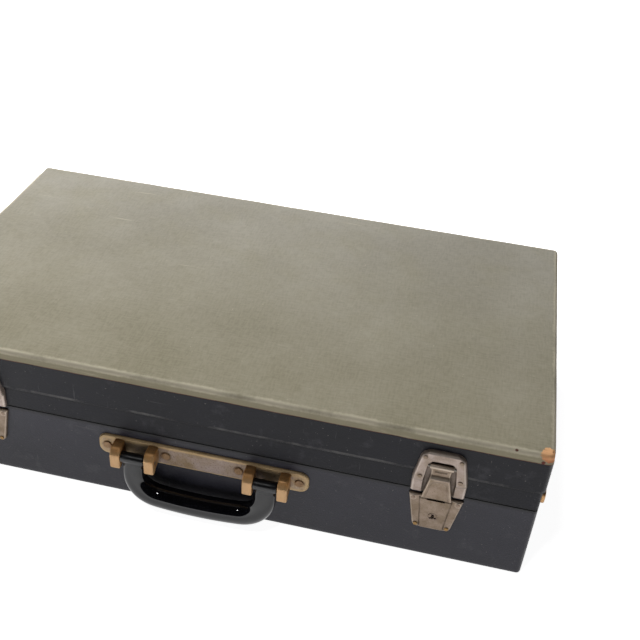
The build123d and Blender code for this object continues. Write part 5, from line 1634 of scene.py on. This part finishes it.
bell_y, valve_side_y = -75.9, 10.1
notched_block("bell_cradle_pad", "bell_cradle", [(bell_y, 70.0, 24.0)], edge=3.4, crown=1.2,
              seed=51)
notched_block("slide_rest_pad", "slide_rest", [(bell_y, 58.0, 11.0), (valve_side_y, 58.0, 11.0)],
              edge=3.4, crown=0.8, seed=52)

# %% [markdown]
# ## The mouthpiece block
# This block has two round sockets, so its top is two fans of points: each runs from a
# socket's circle out to its own half of the block's edge. The halves share the middle line,
# and their edge points are the same ones that the sides use, so everything closes.

# %% The block with two sockets
def at_level(points, level):
    """Points of a plan raised to one level."""
    return np.concatenate([points, np.full(points.shape[:-1] + (1,), level)], -1)


def socket_fan(centre, radius, depth, edge_points, top, lip):
    """From the socket's floor up its wall, over a rounded lip and out to the given edge."""
    away_way = edge_points - centre
    far = np.linalg.norm(away_way, axis=-1, keepdims=True)
    circle = centre + away_way / far * radius
    share = (np.linspace(0, 1, 13) ** 1.5)[:, None, None]
    flat = circle + (edge_points - circle) * share
    gap = np.linalg.norm(flat - centre, axis=-1) - radius
    fall = lip * (1 - rounded(gap + 0.02, lip))
    wall_levels = np.linspace(top - depth, top - lip, 9)[:-1]
    wall = np.stack([at_level(circle, level) for level in wall_levels])
    floor_share = np.array([0.0, 0.35, 0.7, 0.93])[:, None, None]
    floor = at_level(centre + (circle - centre) * floor_share, top - depth)
    return floor, wall, at_level(flat, top), fall


def mouthpiece_piece():
    """Sides and underside of a covered block, closed above by the two fans."""
    low, high = low_high("mouthpiece_block")
    edge, lip = 3.0, 1.6
    socket_aside, socket_radius, socket_depth = 16.0, 10.0, 38.0
    parts, marks = box_grids(low, high, edge, 5.0, skip_top=True)
    middle_x, middle_y = (low[0] + high[0]) / 2, (low[1] + high[1]) / 2
    side_points, side_faces = join_parts(parts)
    blocks = [(eased(side_points, low, high, edge), side_faces)]
    x_marks, y_marks = marks[:2]
    nearest = np.argmin(np.abs(x_marks - middle_x))
    for sign in (-1, 1):
        half_x = x_marks[: nearest + 1] if sign < 0 else x_marks[nearest:]
        loop = np.concatenate([
            np.stack([half_x, np.full(len(half_x), y_marks[0])], -1)[:-1],
            np.stack([np.full(len(y_marks), half_x[-1]), y_marks], -1)[:-1],
            np.stack([half_x[::-1], np.full(len(half_x), y_marks[-1])], -1)[:-1],
            np.stack([np.full(len(y_marks), half_x[0]), y_marks[::-1]], -1)[:-1]])
        centre = np.array([middle_x + sign * socket_aside, middle_y])
        floor, wall, surface, fall = socket_fan(centre, socket_radius, socket_depth, loop,
                                                high[2], lip)
        surface = eased(surface, low, high, edge)
        surface[..., 2] -= fall
        rows = np.concatenate([floor, wall, surface])
        blocks.append((rows, grid_quads(len(rows), len(loop))))
    points, faces = join_parts(blocks)
    points = drawn_in(points, low, high, 0.9, 0.7, 61, 0.05)
    wear = np.clip(step(points[:, 2], high[2] - 3, high[2]) * (0.3 + 0.5 * ripple(points, 20, 62)),
                   0, 1)
    piece = make_piece("mouthpiece_block_pad", "base", plush, points, faces,
                       {"wear": wear}, crease=60, replaces=["mouthpiece_block"])
    return piece


mouthpiece_piece()

# %% [markdown]
# ## The pull tab
# A strip of leather is glued to the accessory lid, with its free end a little thicker
# where fingers have rolled it. It is a rounded sheet with a burnished rim.

# %% The tab
def pull_tab():
    """A sheet with rounded corners; its height over the lid rises gently toward the front."""
    low, high = low_high("accessory_lid_tab")
    middle, half = (low + high) / 2, (high - low) / 2
    corner = 4
    share = np.sin(np.linspace(-np.pi / 2, np.pi / 2, 25))
    y = middle[1] + half[1] * share
    half_x = half[0] - corner_cut(np.abs(y - middle[1]) - (half[1] - corner), corner)
    x = middle[0] + half_x[:, None] * share[None]
    place_y = np.repeat(y[:, None], len(share), 1)
    from_edge = np.minimum(half_x[:, None] - np.abs(x - middle[0]),
                           half[1] - np.abs(place_y - middle[1]))
    height = high[2] - 0.35 * (1 - rounded(from_edge + 0.02, 0.8)) \
        - 0.2 * (1 + ripple(np.stack([x, place_y, x], -1), 9, 71)) * step(from_edge, 0.2, 1.5)
    top = np.stack([x, place_y, height], -1)
    under = np.stack([x, place_y, np.full_like(x, low[2])], -1)
    return make_sheet("pull_tab_leather", "accessory_lid", tab_leather,
                      top, under, replaces=["accessory_lid_tab"])


pull_tab()

# %% [markdown]
# ## Finishes for the measured parts that stay
# Boards, hinges, rivets, pins and locks already have their right shapes. Each only gets
# its finish. Rivets on the handle plate are the plate's own brown brass, and the lock's
# inside works are plain steel.

# %% Assign the finishes
finishes = {
    "board_wood": (board_wood, "base_bottom_panel lid_top_panel base_front_board "
                   "base_rear_board base_left_board base_right_board lid_front_board "
                   "lid_rear_board lid_left_board lid_right_board"),
    "hoop_wood": (hoop_wood, "lid_band_hoop"),
    "leathercloth": (leathercloth, "base_bottom_covering"),
    "rivet_brass": (rivet_brass, "handle_plate_rivets"),
    "end_brass": (end_brass, "end_plate_left end_plate_right end_plate_nails "
                     "accessory_lid_pins"),
    "key_nickel": (key_nickel, "key_plug_left key_plug_right"),
    "rivet_nickel": (rivet_nickel, "lock_plate_rivets"),
    "nickel": (nickel, "latch_plate_rivets hinge_base_leaf_left "
               "hinge_base_leaf_right hinge_lid_leaf_left hinge_lid_leaf_right "
               "base_hinge_rivets lid_hinge_rivets"),
    "steel": (steel, "catch_left catch_right lock_case_left "
              "lock_case_right hasp_pin_left hasp_pin_right handle_pins hinge_pin_left "
              "hinge_pin_right"),
}
for label, (finish, names) in finishes.items():
    for name in names.split():
        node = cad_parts[name]
        if not node.material_slots:
            node.data.materials.append(finish)
        for material_slot in node.material_slots:
            material_slot.material = finish
    print(label, "on", len(names.split()), "parts")
